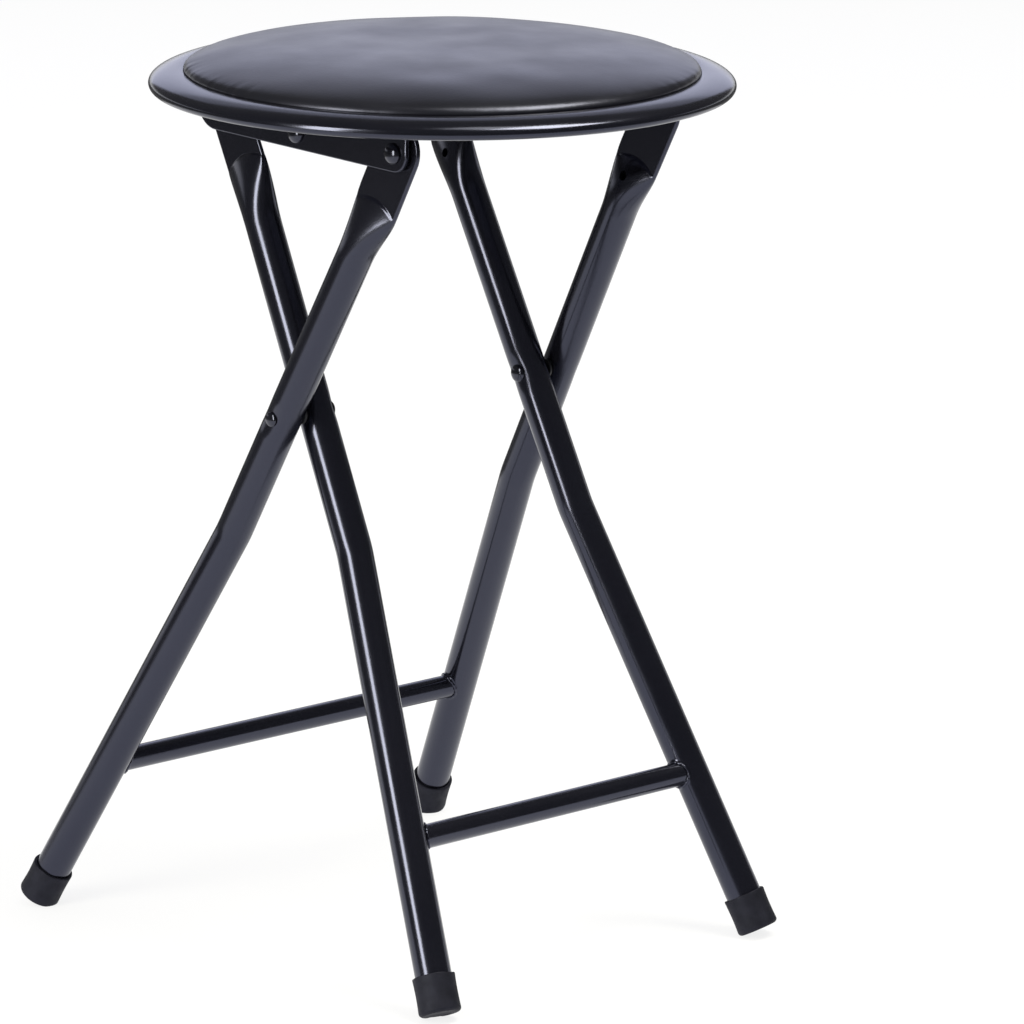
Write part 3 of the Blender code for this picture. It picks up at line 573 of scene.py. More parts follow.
def tab_end_ring(leg, turn):
    """Ring of the tab's round end, at an angle up from the pivot."""
    width = TAB_WIDTH / 2 * math.cos(math.radians(turn))
    z = leg.pivot_z + TAB_WIDTH / 2 * math.sin(math.radians(turn))
    ring = []
    for angle in turns(LEG_SIDES):
        depth = math.copysign(plate_half(width, math.cos(angle)), math.sin(angle))
        ring.append(leg.world(width * math.cos(angle), leg.tab_y + depth, z))
    return ring


top_rings = [tab_end_ring(OUTER_LEGS[0], turn) for turn in TAB_END_TURNS]
print("tab end:", len(top_rings), "rings, up to z", round(top_rings[-1][0].z / MM, 1), "mm")

# %% [markdown]
# A whole leg is one skin: down inside the tube, then up its outside from foot to tab. After
# that the tube is pressed in a little where the crossing rivet's head seats, and the holes
# are drilled: one for the pivot, one for the crossing rivet and one for the coating to
# drain through.

# %% Legs
SEAT_REACH = 12 * MM
SEAT_PRESS = 0.9 * MM
SEAT_STEP = 2 * MM
BORE_START = 14 * MM
BORE_RINGS = 6
SWELL_RINGS = 24
SWELL_START = 6 * MM
STEP_DROPS = (5, 4, 3, 2.4, 1.8, 1.3, 0.9, 0.6, 0.3, 0.12, 0, -0.3, -3, -7, -12, -17, -22)
DRAIN_RADIUS = 2.4 * MM
DRAIN_DROP = 42.5 * MM
DRAIN_OFFSET = 0.4 * MM


def oval_ring(leg, wide, thick, y, z, lean):
    """Ring of the tube, square to its middle line."""
    return [leg.world(wide * math.cos(angle), y + thick * math.sin(angle) * math.cos(lean),
                      z + thick * math.sin(angle) * math.sin(lean)) for angle in turns(LEG_SIDES)]


def lower_line(leg):
    """Points (y, z) and leans of the tube's middle, from its foot to above the crossing."""
    bend = leg.lower_splay - leg.upper_splay
    run = KNEE_BEND_RADIUS * math.tan(bend / 2)
    centre_y = (leg.knee_y + run * math.sin(leg.lower_splay)
                + KNEE_BEND_RADIUS * math.cos(leg.lower_splay))
    centre_z = (-KNEE_DROP - run * math.cos(leg.lower_splay)
                + KNEE_BEND_RADIUS * math.sin(leg.lower_splay))
    foot_rise = CAP_FLOOR + GAP
    line = [(leg.y_at(leg.foot_z) - foot_rise * math.sin(leg.lower_splay),
             leg.foot_z + foot_rise * math.cos(leg.lower_splay), leg.lower_splay)]
    for i in range(KNEE_STEPS + 1):
        lean = leg.lower_splay - bend * i / KNEE_STEPS
        line.append((centre_y - KNEE_BEND_RADIUS * math.cos(lean),
                     centre_z - KNEE_BEND_RADIUS * math.sin(lean), lean))
    for rise in np.arange(-SEAT_REACH, SEAT_REACH + SEAT_STEP / 2, SEAT_STEP):
        line.append((leg.y_at(rise), rise, leg.upper_splay))
    return line


def leg_rings(leg):
    """Rings of the bore from the pressed part down, then of the outside from the foot up."""
    line = lower_line(leg)
    bore_radius = TUBE_RADIUS - TUBE_WALL
    rings = []
    for i in range(BORE_RINGS + 1):
        top = leg.nose_drop + BORE_START
        drop = top + (SCOOP_END - top) * i / BORE_RINGS
        y, z, flat = leg.middle(drop)
        thick = half_thickness(leg, 0, drop) - TUBE_WALL
        rings.append(oval_ring(leg, bore_radius, thick, y, z, 0))
    rings += [oval_ring(leg, bore_radius, bore_radius, *spot) for spot in line[::-1]]
    rings += [oval_ring(leg, TUBE_RADIUS, TUBE_RADIUS, *spot) for spot in line]
    swell = SCOOP_END - leg.nose_drop - SWELL_START
    drops = [SCOOP_END - swell * i / SWELL_RINGS for i in range(SWELL_RINGS + 1)]
    drops += [leg.nose_drop + part * MM for part in STEP_DROPS]
    rings += [pressed_ring(leg, drop) for drop in drops]
    return rings + [tab_end_ring(leg, turn) for turn in TAB_END_TURNS]


def press_seat(piece, leg):
    """Press the tube in a little where the head of the crossing rivet seats."""
    facing = leg.side if leg.frame_name == "outer" else -leg.side
    points = mesh_arrays(piece.data)[0]
    for point in points:
        off = math.hypot(point[0] - crossing.x, point[2] - crossing.z)
        out = facing * (point[1] - leg.side * leg.half_spacing) / TUBE_RADIUS
        if off < SEAT_REACH and out > 0:
            point[1] -= facing * SEAT_PRESS * out * eased(1 - off / SEAT_REACH)
    piece.data.vertices.foreach_set("co", points.ravel())


def make_leg(leg):
    """One leg with its two rivet holes and its drain hole."""
    name = leg.frame_name + "_leg_" + leg.end
    piece = new_piece(name + "_tube", skinned_shape(leg_rings(leg)), POWDER_COAT)
    press_seat(piece, leg)
    pivot = leg.world(leg.pivot_x, 0, leg.pivot_z)
    drill(piece, leg.side, pivot.x, pivot.z, leg.tab_y - 4 * MM, leg.tab_y + 4 * MM)
    reach = TUBE_RADIUS + 3 * MM
    drill(piece, leg.side, crossing.x, crossing.z, leg.half_spacing - reach,
          leg.half_spacing + reach)
    drain_z = leg.pivot_z - DRAIN_DROP
    drain = leg.world(-DRAIN_OFFSET, 0, drain_z)
    middle_y = leg.y_at(drain_z)
    drill(piece, leg.side, drain.x, drain.z, middle_y - TUBE_RADIUS - MM, middle_y - MM,
          DRAIN_RADIUS)
    mount_piece(piece, leg.body, [name])


for leg in LEGS:
    make_leg(leg)

# %% [markdown]
# Each frame's crossbar is a thinner tube, cut to a saddle at both ends where it meets the
# legs. The powder coat runs into the weld's corner, so the bar flares out there in a hollow
# fillet. The fillet is widest above and below the bar, where the leg's side is flat.

# %% Crossbars
BAR_SIDES = 48
FILLET_SIDE = 1.6 * MM
FILLET_END = 3.4 * MM
FILLET_STEPS = 6
FILLET_SINK = 0.2 * MM


def saddle_y(leg, angle, radius, off=GAP):
    """Distance out at which a point round the bar meets the leg's tube."""
    reach = math.sqrt((TUBE_RADIUS + off) ** 2 - (radius * math.sin(angle)) ** 2)
    middle = leg.y_at(-leg.bar_drop + radius * math.cos(angle))
    return middle - reach / math.cos(leg.lower_splay)


def fillet_size(angle, side):
    """Radius of the fillet at an angle round the bar, a little uneven as a weld is."""
    hand = noise.noise(Vector((2.5 * math.cos(angle), 2.5 * math.sin(angle), 3.3 * side)))
    return (FILLET_SIDE + (FILLET_END - FILLET_SIDE) * math.cos(angle) ** 2) * (1 + 0.25 * hand)


def bar_point(leg, side, angle, radius, y):
    """Point round the bar, in the stool's axes."""
    point = leg.world(radius * math.sin(angle), 0, -leg.bar_drop + radius * math.cos(angle))
    point.y = side * y
    return point


def fillet_ring(leg, side, slope):
    """Ring of the bar's outside, at an angle round the hollow of its fillet."""
    ring = []
    for angle in turns(BAR_SIDES):
        size = fillet_size(angle, side)
        radius = BAR_RADIUS + size * (1 - math.sin(slope))
        y = saddle_y(leg, angle, radius, -FILLET_SINK) - size * (1 - math.cos(slope))
        ring.append(bar_point(leg, side, angle, radius, y))
    return ring


def make_crossbar(leg):
    """Hollow bar between a frame's two legs."""
    bore = BAR_RADIUS - BAR_WALL
    rings = [[bar_point(leg, side, angle, bore, saddle_y(leg, angle, bore))
              for angle in turns(BAR_SIDES)] for side in (1, -1)]
    slopes = [math.pi / 2 * i / FILLET_STEPS for i in range(FILLET_STEPS + 1)]
    rings += [fillet_ring(leg, -1, slope) for slope in slopes]
    rings += [fillet_ring(leg, 1, slope) for slope in slopes[::-1]]
    name = leg.frame_name + "_crossbar"
    piece = new_piece(name + "_tube", skinned_shape(rings, closed=True), POWDER_COAT)
    mount_piece(piece, leg.body, [name])


for leg in (OUTER_LEGS[0], INNER_LEGS[0]):
    make_crossbar(leg)

# %% [markdown]
# A weld is a row of small overlapping puddles. Its path runs round the bar in the corner
# with the leg, and a Geometry Nodes tree sweeps a circle along that path. The circle's
# radius swells and shrinks with a wave for the puddles, and with noise for the unsteady hand.

# %% Weld beads
GEOMETRY = [("Geometry", "Geometry")]
PAINT = [("Finish", "Material")]
WELD_POINTS = 72
WELD_SINK = 0.2


def end_tree(tree, built, given, result):
    """Turn what a tree built into plain painted mesh, and put it out."""
    plain = add_node(tree, "GeometryNodeRealizeInstances", {"Geometry": built})
    painted = add_node(tree, "GeometryNodeSetMaterial", {"Geometry": plain.outputs["Geometry"],
                                                         "Material": given["Finish"]})
    tree.links.new(painted.outputs["Geometry"], result["Geometry"])
    return tree


def weld_tree():
    """Sweep a bead along each path, with puddles along it."""
    sizes = [("Bead Radius", 0.0008), ("Puddle Length", 0.0026), ("Puddle Depth", 0.10),
             ("Unevenness", 0.5)]
    tree, given, result = new_tree("weld_bead", "GeometryNodeTree", GEOMETRY + sizes + PAINT,
                                   GEOMETRY)
    path = add_node(tree, "GeometryNodeResampleCurve", {"Curve": given["Geometry"],
                                                        "Count": 120}, mode="COUNT")
    along = tree.nodes.new("GeometryNodeSplineParameter").outputs["Length"]
    phase = sums(tree, "MULTIPLY", sums(tree, "DIVIDE", along, given["Puddle Length"]), math.tau)
    puddles = sums(tree, "MULTIPLY_ADD", sums(tree, "SINE", phase), given["Puddle Depth"], 1.0)
    place = tree.nodes.new("GeometryNodeInputPosition").outputs[0]
    hand = add_node(tree, "ShaderNodeTexNoise", {"Vector": place, "Scale": 180.0, "Detail": 1.0})
    centred = sums(tree, "SUBTRACT", hand.outputs["Fac"], 0.5)
    uneven = sums(tree, "MULTIPLY_ADD", centred, given["Unevenness"], puddles)
    circle = add_node(tree, "GeometryNodeCurvePrimitiveCircle",
                      {"Resolution": 14, "Radius": given["Bead Radius"]})
    bead = add_node(tree, "GeometryNodeCurveToMesh",
                    {"Curve": path.outputs["Curve"], "Profile Curve": circle.outputs["Curve"],
                     "Scale": uneven, "Fill Caps": False})
    return end_tree(tree, bead.outputs["Mesh"], given, result)


def run_tree(piece, tree, values):
    """Give a piece a Geometry Nodes tree, set its named inputs, and keep the plain mesh."""
    modifier = piece.modifiers.new(tree.name, "NODES")
    modifier.node_group = tree
    for item in tree.interface.items_tree:
        if item.in_out == "INPUT" and item.name in values:
            modifier[item.identifier] = values[item.name]
    name = piece.name
    mesh = evaluated_mesh(piece)
    bpy.data.objects.remove(piece, do_unlink=True)
    mesh.name = name
    shade(mesh)
    return add_object(name, mesh)


def drawn_curve(name, lines, cyclic):
    """Curve object through lists of points."""
    curve = bpy.data.curves.new(name, "CURVE")
    curve.dimensions = "3D"
    for line in lines:
        spline = curve.splines.new("POLY")
        spline.points.add(len(line) - 1)
        spline.use_cyclic_u = cyclic
        for point, place in zip(spline.points, line):
            point.co = (*place, 1)
    return add_object(name, curve)


def weld_path(leg, side):
    """Path round the bar, a little under the fillet's surface."""
    path = []
    for angle in turns(WELD_POINTS):
        depth = WELD_SINK * fillet_size(angle, side)
        radius = BAR_RADIUS + depth
        path.append(bar_point(leg, side, angle, radius, saddle_y(leg, angle, radius) - depth))
    return path


WELD_TREE = weld_tree()
for leg in (OUTER_LEGS[0], INNER_LEGS[0]):
    paths = drawn_curve(leg.frame_name + "_welds", [weld_path(leg, -1), weld_path(leg, 1)], True)
    mount_piece(run_tree(paths, WELD_TREE, {"Finish": POWDER_COAT}), leg.body)

# %% [markdown]
# A rubber cap is pushed over each tube's end. It is moulded, so its edge is rounded and its
# wall draws in a little half way up. Noise makes the wall and the lip uneven, and the corner
# that stands on the floor is worn flat.

# %% Foot caps
CAP_SIDES = 72
CAP_LIP = 0.5 * MM
CAP_SOLE = 0.25 * MM
CAP_WAIST = 0.25 * MM
CAP_BORE = TUBE_RADIUS + 0.05 * MM
CAP_DENT = 0.012
CAP_DENT_SCALE = 160
CAP_LIP_WAVE = 0.5 * MM


def cap_profile():
    """Closed section of a cap, from the middle of its sole round to its bore."""
    profile = [(0, CAP_SOLE), (CAP_RADIUS * 0.55, CAP_SOLE), (CAP_RADIUS * 0.62, 0)]
    profile += arc((CAP_RADIUS - CAP_EDGE, CAP_EDGE), CAP_EDGE, CAP_EDGE, -90, 0, 8)
    for share in [i / 9 for i in range(1, 9)]:
        height = CAP_EDGE + (CAP_LENGTH - CAP_LIP - CAP_EDGE) * share
        profile.append((CAP_RADIUS - CAP_WAIST * math.sin(math.pi * share), height))
    profile += arc((CAP_RADIUS - CAP_LIP, CAP_LENGTH - CAP_LIP), CAP_LIP, CAP_LIP, 0, 90, 4)
    return profile + [(CAP_BORE + 0.2 * MM, CAP_LENGTH), (CAP_BORE, CAP_LENGTH - 0.4 * MM),
                      (CAP_BORE, CAP_FLOOR), (0, CAP_FLOOR)]


def make_cap(leg):
    """Cap with an uneven lip, flattened where it meets the floor."""
    shape = turned_shape(cap_profile(), CAP_SIDES, Matrix.Identity(4))
    for vertex in shape.verts:
        point = vertex.co.copy()
        if point.xy.length < TUBE_RADIUS + 0.4 * MM:
            continue
        seed = (Vector((point.x, point.y, point.z * 0.5)) * CAP_DENT_SCALE
                + Vector((leg.side * 7, leg.lean * 9, 0)))
        vertex.co.xy *= 1 + CAP_DENT * noise.noise(seed)
        if point.z > CAP_LENGTH * 0.7:
            vertex.co.z += CAP_LIP_WAVE * noise.noise(seed * 0.7 + Vector((3, 5, 8)))
    bmesh.ops.transform(shape, matrix=leg.foot_matrix(), verts=shape.verts)
    for vertex in shape.verts:
        vertex.co.z = max(vertex.co.z, 0.0)
    name = leg.frame_name + "_foot_cap_" + leg.end
    mount_piece(new_piece(name + "_moulding", shape, RUBBER), leg.body, [name])


for leg in LEGS:
    make_cap(leg)

# %% [markdown]
# The seat pan is pressed from one round sheet. Its rim stands up from the floor of the pan,
# rolls over in a broad curve and turns under in a small curl. That is a section carried
# round a circle, which is a job for Geometry Nodes: the section is drawn once as a curve and
# swept along a circle of the seat's radius.

# %% Seat pan
RIM_WIDTH = 16.4 * MM
RIM_RISE = 6.7 * MM
RIM_DROP = 3.4 * MM
RIM_CURL = 3.4 * MM
RIM_BELOW_PAN = 1.4 * MM
PAN_WALL = 1.2 * MM
PAN_WALL_RUN = 5 * MM
PAN_STEPS = 224
RIM_EQUATOR = pan_high.z - RIM_RISE
pan_floor = RIM_EQUATOR + RIM_BELOW_PAN + PAN_WALL
lip_radius = seat_radius - RIM_WIDTH


def pan_wall(share, out, floor):
    """Point part of the way up the wall between the pan's floor and its rim."""
    rise = RIM_EQUATOR + RIM_RISE - pan_floor
    return (lip_radius - PAN_WALL_RUN + out + (PAN_WALL_RUN - PAN_WALL) * share,
            floor + rise * eased(share))


def pan_section():
    """Section of the pan as (radius, height), from its middle out over the rim and back."""
    floor_edge = lip_radius - PAN_WALL_RUN
    flat = (0, floor_edge * 0.5, floor_edge - 3 * MM)
    under = pan_floor - PAN_WALL
    roll = (lip_radius, RIM_EQUATOR)
    curl = (seat_radius - RIM_CURL, RIM_EQUATOR)
    end = PAN_WALL / 2
    section = [(radius, pan_floor) for radius in flat]
    section += [pan_wall(i / 9, 0, pan_floor) for i in range(1, 9)]
    section += arc(roll, RIM_WIDTH, RIM_RISE, 91, 0, 26)
    section += arc(curl, RIM_CURL, RIM_DROP, 0, -90, 12)[1:]
    section += arc((curl[0], RIM_EQUATOR - RIM_DROP + end), end, end, -100, -260, 6)
    section += arc(curl, RIM_CURL - PAN_WALL, RIM_DROP - PAN_WALL, -80, 0, 8)
    section += arc(roll, RIM_WIDTH - PAN_WALL, RIM_RISE - PAN_WALL, 0, 88, 18)[1:]
    section += [pan_wall(1 - i / 7, PAN_WALL, under) for i in range(1, 7)]
    return section + [(radius, under) for radius in flat[::-1]]


def sweep_tree():
    """Carry a section round a circle of a radius."""
    sizes = [("Radius", 0.1), ("Steps", 192)]
    tree, given, result = new_tree("swept_section", "GeometryNodeTree", GEOMETRY + sizes + PAINT,
                                   GEOMETRY)
    circle = add_node(tree, "GeometryNodeCurvePrimitiveCircle",
                      {"Resolution": given["Steps"], "Radius": given["Radius"]})
    swept = add_node(tree, "GeometryNodeCurveToMesh", {"Curve": circle.outputs["Curve"],
                                                       "Profile Curve": given["Geometry"]})
    closed = add_node(tree, "GeometryNodeMergeByDistance", {"Geometry": swept.outputs["Mesh"],
                                                            "Distance": 0.00001})
    return end_tree(tree, closed.outputs["Geometry"], given, result)


def make_pan():
    """Pan swept from its section, and moved under the seat's middle."""
    line = [(radius - seat_radius, -height, 0) for radius, height in pan_section()]
    piece = run_tree(drawn_curve("seat_pan_pressing", [line], False), sweep_tree(),
                     {"Radius": seat_radius, "Steps": PAN_STEPS, "Finish": POWDER_COAT})
    shape = bmesh.new()
    shape.from_mesh(piece.data)
    bmesh.ops.remove_doubles(shape, verts=shape.verts, dist=0.02 * MM)
    bmesh.ops.transform(shape, matrix=Matrix.Translation((seat_x, 0, 0)), verts=shape.verts)
    bmesh.ops.recalc_face_normals(shape, faces=shape.faces)
    shape.to_mesh(piece.data)
    shape.free()
    mount_piece(piece, "seat", ["seat_pan"])


make_pan()

# %% [markdown]
# The cushion is a disc of foam on a board, with vinyl drawn tight over it and stapled
# underneath. Its top is a quad patch in the middle with rings round it, so that no pole
# shows in the gloss. It starts a little low. The cloth solver then blows it up against its
# pinned hem, which gives the crown the spring of a real pad. The side is a list of points
# in millimetres: how far in from the edge, and how far above the cover's lowest point.

# %% Cushion mesh
cover_low, cover_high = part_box("seat_cover")
CUSHION_RADIUS = lip_radius - 1.6 * MM
CUSHION_SHOULDER = 4.4 * MM
CUSHION_START = 0.6 * MM
CUSHION_SIDE = ((0.4, 3.3), (1.3, 2.2), (2.9, 1.0), (5.5, 0.1), (11.5, 0), (17.5, 0), (17.5, 0.8))
PATCH_STEPS = 36
PATCH_HALF = CUSHION_RADIUS * 0.52
PATCH_BULGE = 0.62
TOP_RINGS = 17


def top_point(shape, flat):
    """Point on the cushion's dome, over a flat place, before it is blown up."""
    shoulder = cover_low.z + CUSHION_SHOULDER
    rise = cover_high.z - shoulder - CUSHION_START
    height = shoulder + rise * math.sqrt(max(0.0, 1 - (flat.length / CUSHION_RADIUS) ** 3))
    return shape.verts.new((seat_x + flat.x, flat.y, height))


def patch_point(shape, u, v):
    """Point of the middle patch: a square with its sides bulged towards a circle."""
    flat = Vector((u * math.sqrt(1 - PATCH_BULGE * v * v / 2) * PATCH_HALF,
                   v * math.sqrt(1 - PATCH_BULGE * u * u / 2) * PATCH_HALF))
    return top_point(shape, flat)


def add_ring(shape, inner, outer):
    """Quads from a ring to the next one of equal count, which is handed back."""
    for i in range(len(inner)):
        j = (i + 1) % len(inner)
        shape.faces.new((inner[i], outer[i], outer[j], inner[j]))
    return outer


def cushion_shape():
    """Top patch, rings round it, the rounded side and the hem under it."""
    shape = bmesh.new()
    shares = [2 * i / PATCH_STEPS - 1 for i in range(PATCH_STEPS + 1)]
    grid = [[patch_point(shape, u, v) for u in shares] for v in shares]
    for lower, upper in zip(grid, grid[1:]):
        for i in range(PATCH_STEPS):
            shape.faces.new((lower[i], lower[i + 1], upper[i + 1], upper[i]))
    last = grid[0][:-1] + [row[-1] for row in grid[:-1]]
    last += grid[-1][:0:-1] + [row[0] for row in grid[:0:-1]]
    starts = [Vector((vertex.co.x - seat_x, vertex.co.y)) for vertex in last]
    ways = [(math.cos(turn - math.pi * 0.75), math.sin(turn - math.pi * 0.75))
            for turn in turns(len(last))]
    for k in range(1, TOP_RINGS + 1):
        share = 1 - (1 - k / TOP_RINGS) ** 1.25
        flats = [start.lerp(Vector(way) * CUSHION_RADIUS, share)
                 for start, way in zip(starts, ways)]
        last = add_ring(shape, last, [top_point(shape, flat) for flat in flats])
    for inset, height in CUSHION_SIDE:
        radius = CUSHION_RADIUS - inset * MM
        places = [(seat_x + radius * x, radius * y, cover_low.z + height * MM) for x, y in ways]
        last = add_ring(shape, last, [shape.verts.new(place) for place in places])
    shape.faces.new(last[::-1])
    return shape


cushion = new_piece("seat_cushion", cushion_shape(), VINYL)
print("cushion cage:", len(cushion.data.vertices), "points")

# %% [markdown]
# The solver needs a pinned hem and a pressure. It also pulls the shoulder in, where the real
# cover is held up by its foam, so a point only keeps the part of its move that goes outwards.
# That part is capped and evened out over the mesh, which leaves a taut pad.

# %% Blow the cushion up
SWELL_CAP = 1.1 * MM
SWELL_EVENING = 40
CLOTH_FRAMES = 20
CLOTH = {"quality": 6, "mass": 0.35, "tension_stiffness": 25, "compression_stiffness": 25,
         "shear_stiffness": 12, "bending_stiffness": 2.0, "use_pressure": True,
         "uniform_pressure_force": 4, "vertex_group_mass": "hem"}


def blow_up(piece):
    """Run the cloth solver with pressure on a piece whose under side is pinned."""
    rest, outward = mesh_arrays(piece.data)
    pinned = np.flatnonzero(rest[:, 2] < cover_low.z + CUSHION_SHOULDER - 2 * MM).tolist()
    piece.vertex_groups.new(name="hem").add(pinned, 1.0, "REPLACE")
    cloth = piece.modifiers.new("cloth", "CLOTH")
    for name, value in CLOTH.items():
        setattr(cloth.settings, name, value)
    cloth.settings.effector_weights.gravity = 0
    cloth.collision_settings.use_collision = False
    for number in range(1, CLOTH_FRAMES + 1):
        bpy.context.scene.frame_set(number)
    apply_modifiers(piece)
    bpy.context.scene.frame_set(1)
    moved = mesh_arrays(piece.data)[0] - rest
    swell = np.clip((moved * outward).sum(axis=1), 0, SWELL_CAP)
    edges = np.empty(len(piece.data.edges) * 2, dtype=np.int32)
    piece.data.edges.foreach_get("vertices", edges)
    near, far = edges.reshape(-1, 2).T
    count = np.bincount(near, minlength=len(rest)) + np.bincount(far, minlength=len(rest))
    for _ in range(SWELL_EVENING):
        around = np.bincount(near, swell[far], len(rest))
        around += np.bincount(far, swell[near], len(rest))
        swell = (swell + around / count) / 2
        swell[pinned] = 0
    new = rest + outward * swell[:, None]
    piece.data.vertices.foreach_set("co", new.astype(np.float32).ravel())
    piece.data.update()
    print("cushion moved by up to", round(np.linalg.norm(moved, axis=1).max() / MM, 2),
          "mm, crown at", round(new[:, 2].max() / MM, 1), "mm")


blow_up(cushion)

# %% [markdown]
# Vinyl that is pulled over a round edge gathers into small puckers. After the solver the
# mesh is subdivided, and each point near the edge moves in or out by noise that runs round
# the seat: many short waves at the edge, which die out towards the top. Broad, shallow lumps
# over the whole top come from a slower noise.

# %% Puckers
PUCKER_DEPTH = 0.26 * MM
PUCKER_CAP = 0.35 * MM
PUCKER_REACH = 16 * MM
PUCKER_FLOOR = 1.5 * MM
PUCKER_SCALE = 22
LOOSE_END = Vector((math.sin(math.radians(-25)), -math.cos(math.radians(-25))))
LUMP_SIZE = 36 * MM
LUMP_DEPTH = 0.3 * MM
LUMP_LIFT = 0.15
LUMP_FADE = 8 * MM


def pucker(out, near_edge):
    """How far the vinyl stands out near the edge, at a place seen from the seat's middle."""
    turn = out.normalized() * PUCKER_SCALE
    wave = noise.noise(Vector((turn.x, turn.y, 1.7)))
    fine = noise.noise(Vector((turn.x * 3.1, turn.y * 3.1, 9.2 + out.length * 40)))
    patchy = 0.5 + noise.noise(Vector((turn.x * 0.12, turn.y * 0.12, 4.0)))
    loose = 1 + 0.5 * eased((turn.normalized() @ LOOSE_END - 0.80) / 0.15)
    depth = PUCKER_DEPTH * near_edge ** 2 * (0.75 * wave + 0.35 * fine) * max(patchy, 0.15)
    return min(depth * loose, PUCKER_CAP)


def add_puckers(piece):
    """Gather the vinyl along the cushion's edge."""
    subdivide = piece.modifiers.new("smooth", "SUBSURF")
    subdivide.levels = 2
    subdivide.render_levels = 2
    apply_modifiers(piece, math.radians(60))
    points, normals = mesh_arrays(piece.data)
    for point, normal in zip(points, normals):
        out = Vector((point[0] - seat_x, point[1]))
        lump = noise.noise(Vector((point[0], point[1], 0)) / LUMP_SIZE) + LUMP_LIFT
        point += normal * LUMP_DEPTH * lump * eased((point[2] - cover_low.z) / LUMP_FADE)
        near_edge = eased(1 - (CUSHION_RADIUS - out.length) / PUCKER_REACH)
        if near_edge > 0 and point[2] >= cover_low.z + PUCKER_FLOOR:
            point += normal * pucker(out, near_edge)
    piece.data.vertices.foreach_set("co", points.ravel())
    piece.data.update()


add_puckers(cushion)
mount_piece(cushion, "seat", ["seat_cover"])

# %% [markdown]
# The brackets are folded from flat bar: an upright plate that the legs hang on, and a flange
# turned out under the pan for the screws. Plate and flange are drawn as outlines and joined.
# Every edge is broken with a small bevel before the holes are drilled.

# %% Brackets
BRACKET_REACH = 154 * MM
BRACKET_DROP = 9.6 * MM
BRACKET_TAPER = 2 * MM
BRACKET_CORNER = 14 * MM
BRACKET_WALL = 2.5 * MM
FLANGE_LENGTH = 120 * MM
FLANGE_CORNER = 5 * MM
EDGE_BREAK = 0.6 * MM
FLAT_EDGE = math.radians(20)
bracket_low, bracket_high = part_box("seat_bracket_left")


def slab(name, outline, low, high, place):
    """Piece from a flat outline; place turns (u, v, depth) into a point."""
    rings = [[place(u, v, depth) for u, v in outline] for depth in (low, high)]
    return new_piece(name, skinned_shape(rings), POWDER_COAT)


def finish_plate(piece, side, near, far, holes):
    """Round every sharp edge of a plate a little, then drill its holes."""
    bevel = piece.modifiers.new("edges", "BEVEL")
    bevel.width = EDGE_BREAK
    bevel.segments = 2
    bevel.limit_method = "ANGLE"
    bevel.angle_limit = math.radians(40)
    bevel.use_clamp_overlap = True
    apply_modifiers(piece)
    for x, z in holes:
        drill(piece, side, x, z, near - MM, far + MM)
    apply_modifiers(piece, FLAT_EDGE)


def make_bracket(side, end):
    """Angle bracket under the pan, on one side of the seat."""
    x, z = seat_pivot.x, seat_pivot.z
    near, top = bracket_low.y, bracket_high.z
    corner = (x - BRACKET_REACH + BRACKET_CORNER,
              z + BRACKET_TAPER - BRACKET_DROP + BRACKET_CORNER)
    outline = arc(corner, BRACKET_CORNER, BRACKET_CORNER, 180, 270, 14)
    outline += arc((x, z), BRACKET_DROP, BRACKET_DROP, -90, 0, 16)
    outline += [(x + BRACKET_DROP, top), (x - BRACKET_REACH, top)]
    piece = slab(f"seat_bracket_{end}_plate", outline, near, near + BRACKET_WALL,
                 lambda u, v, depth: (u, side * depth, v))
    low, high = seat_x - FLANGE_LENGTH / 2, seat_x + FLANGE_LENGTH / 2
    outer = bracket_high.y - FLANGE_CORNER
    flange = [(low, near + BRACKET_WALL / 2), (high, near + BRACKET_WALL / 2)]
    flange += arc((high - FLANGE_CORNER, outer), FLANGE_CORNER, FLANGE_CORNER, 0, 90, 8)
    flange += arc((low + FLANGE_CORNER, outer), FLANGE_CORNER, FLANGE_CORNER, 90, 180, 8)
    shelf = slab("shelf", flange, top - BRACKET_WALL, top,
                 lambda u, v, depth: (u, side * v, depth))
    cut(piece, shelf, "UNION")
    finish_plate(piece, side, near, near + BRACKET_WALL, [(x, z), (link_pivot.x, z)])
    mount_piece(piece, "seat", [f"seat_bracket_{end}"])


for side, end in SIDES:
    make_bracket(side, end)

# %% [markdown]
# Two short links fold with the stool. Each is a bar with round ends, stamped from sheet.

# %% Links
LINK_HALF_WIDTH = 10 * MM


def make_link(side, end):
    """Link between the seat's rivet and the inner leg's top."""
    low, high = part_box(f"seat_link_{end}")
    near, far = sorted((abs(low.y), abs(high.y)))
    holes = [(link_pivot.x, link_pivot.z), (inner_pivot.x, link_pivot.z)]
    outline = arc(holes[0], LINK_HALF_WIDTH, LINK_HALF_WIDTH, -90, 90, 20)
    outline += arc(holes[1], LINK_HALF_WIDTH, LINK_HALF_WIDTH, 90, 270, 20)
    piece = slab(f"seat_link_{end}_bar", outline, near, far,
                 lambda u, v, depth: (u, side * depth, v))
    finish_plate(piece, side, near, far, holes)
    mount_piece(piece, f"link_{end}", [f"seat_link_{end}"])


for side, end in SIDES:
    make_link(side, end)

# %% [markdown]
# Rivets, washers, sleeves and screws repeat. One Geometry Nodes tree sets them: it puts a
# copy of a pattern piece on every point, turned so that its +Z follows the point's `axis`
# attribute, with a random spin about it from a fixed seed.

# %% Fixing tree
FIXING_SIDES = 40
FIXING_SEED = 3
SCREW_SEED = 11


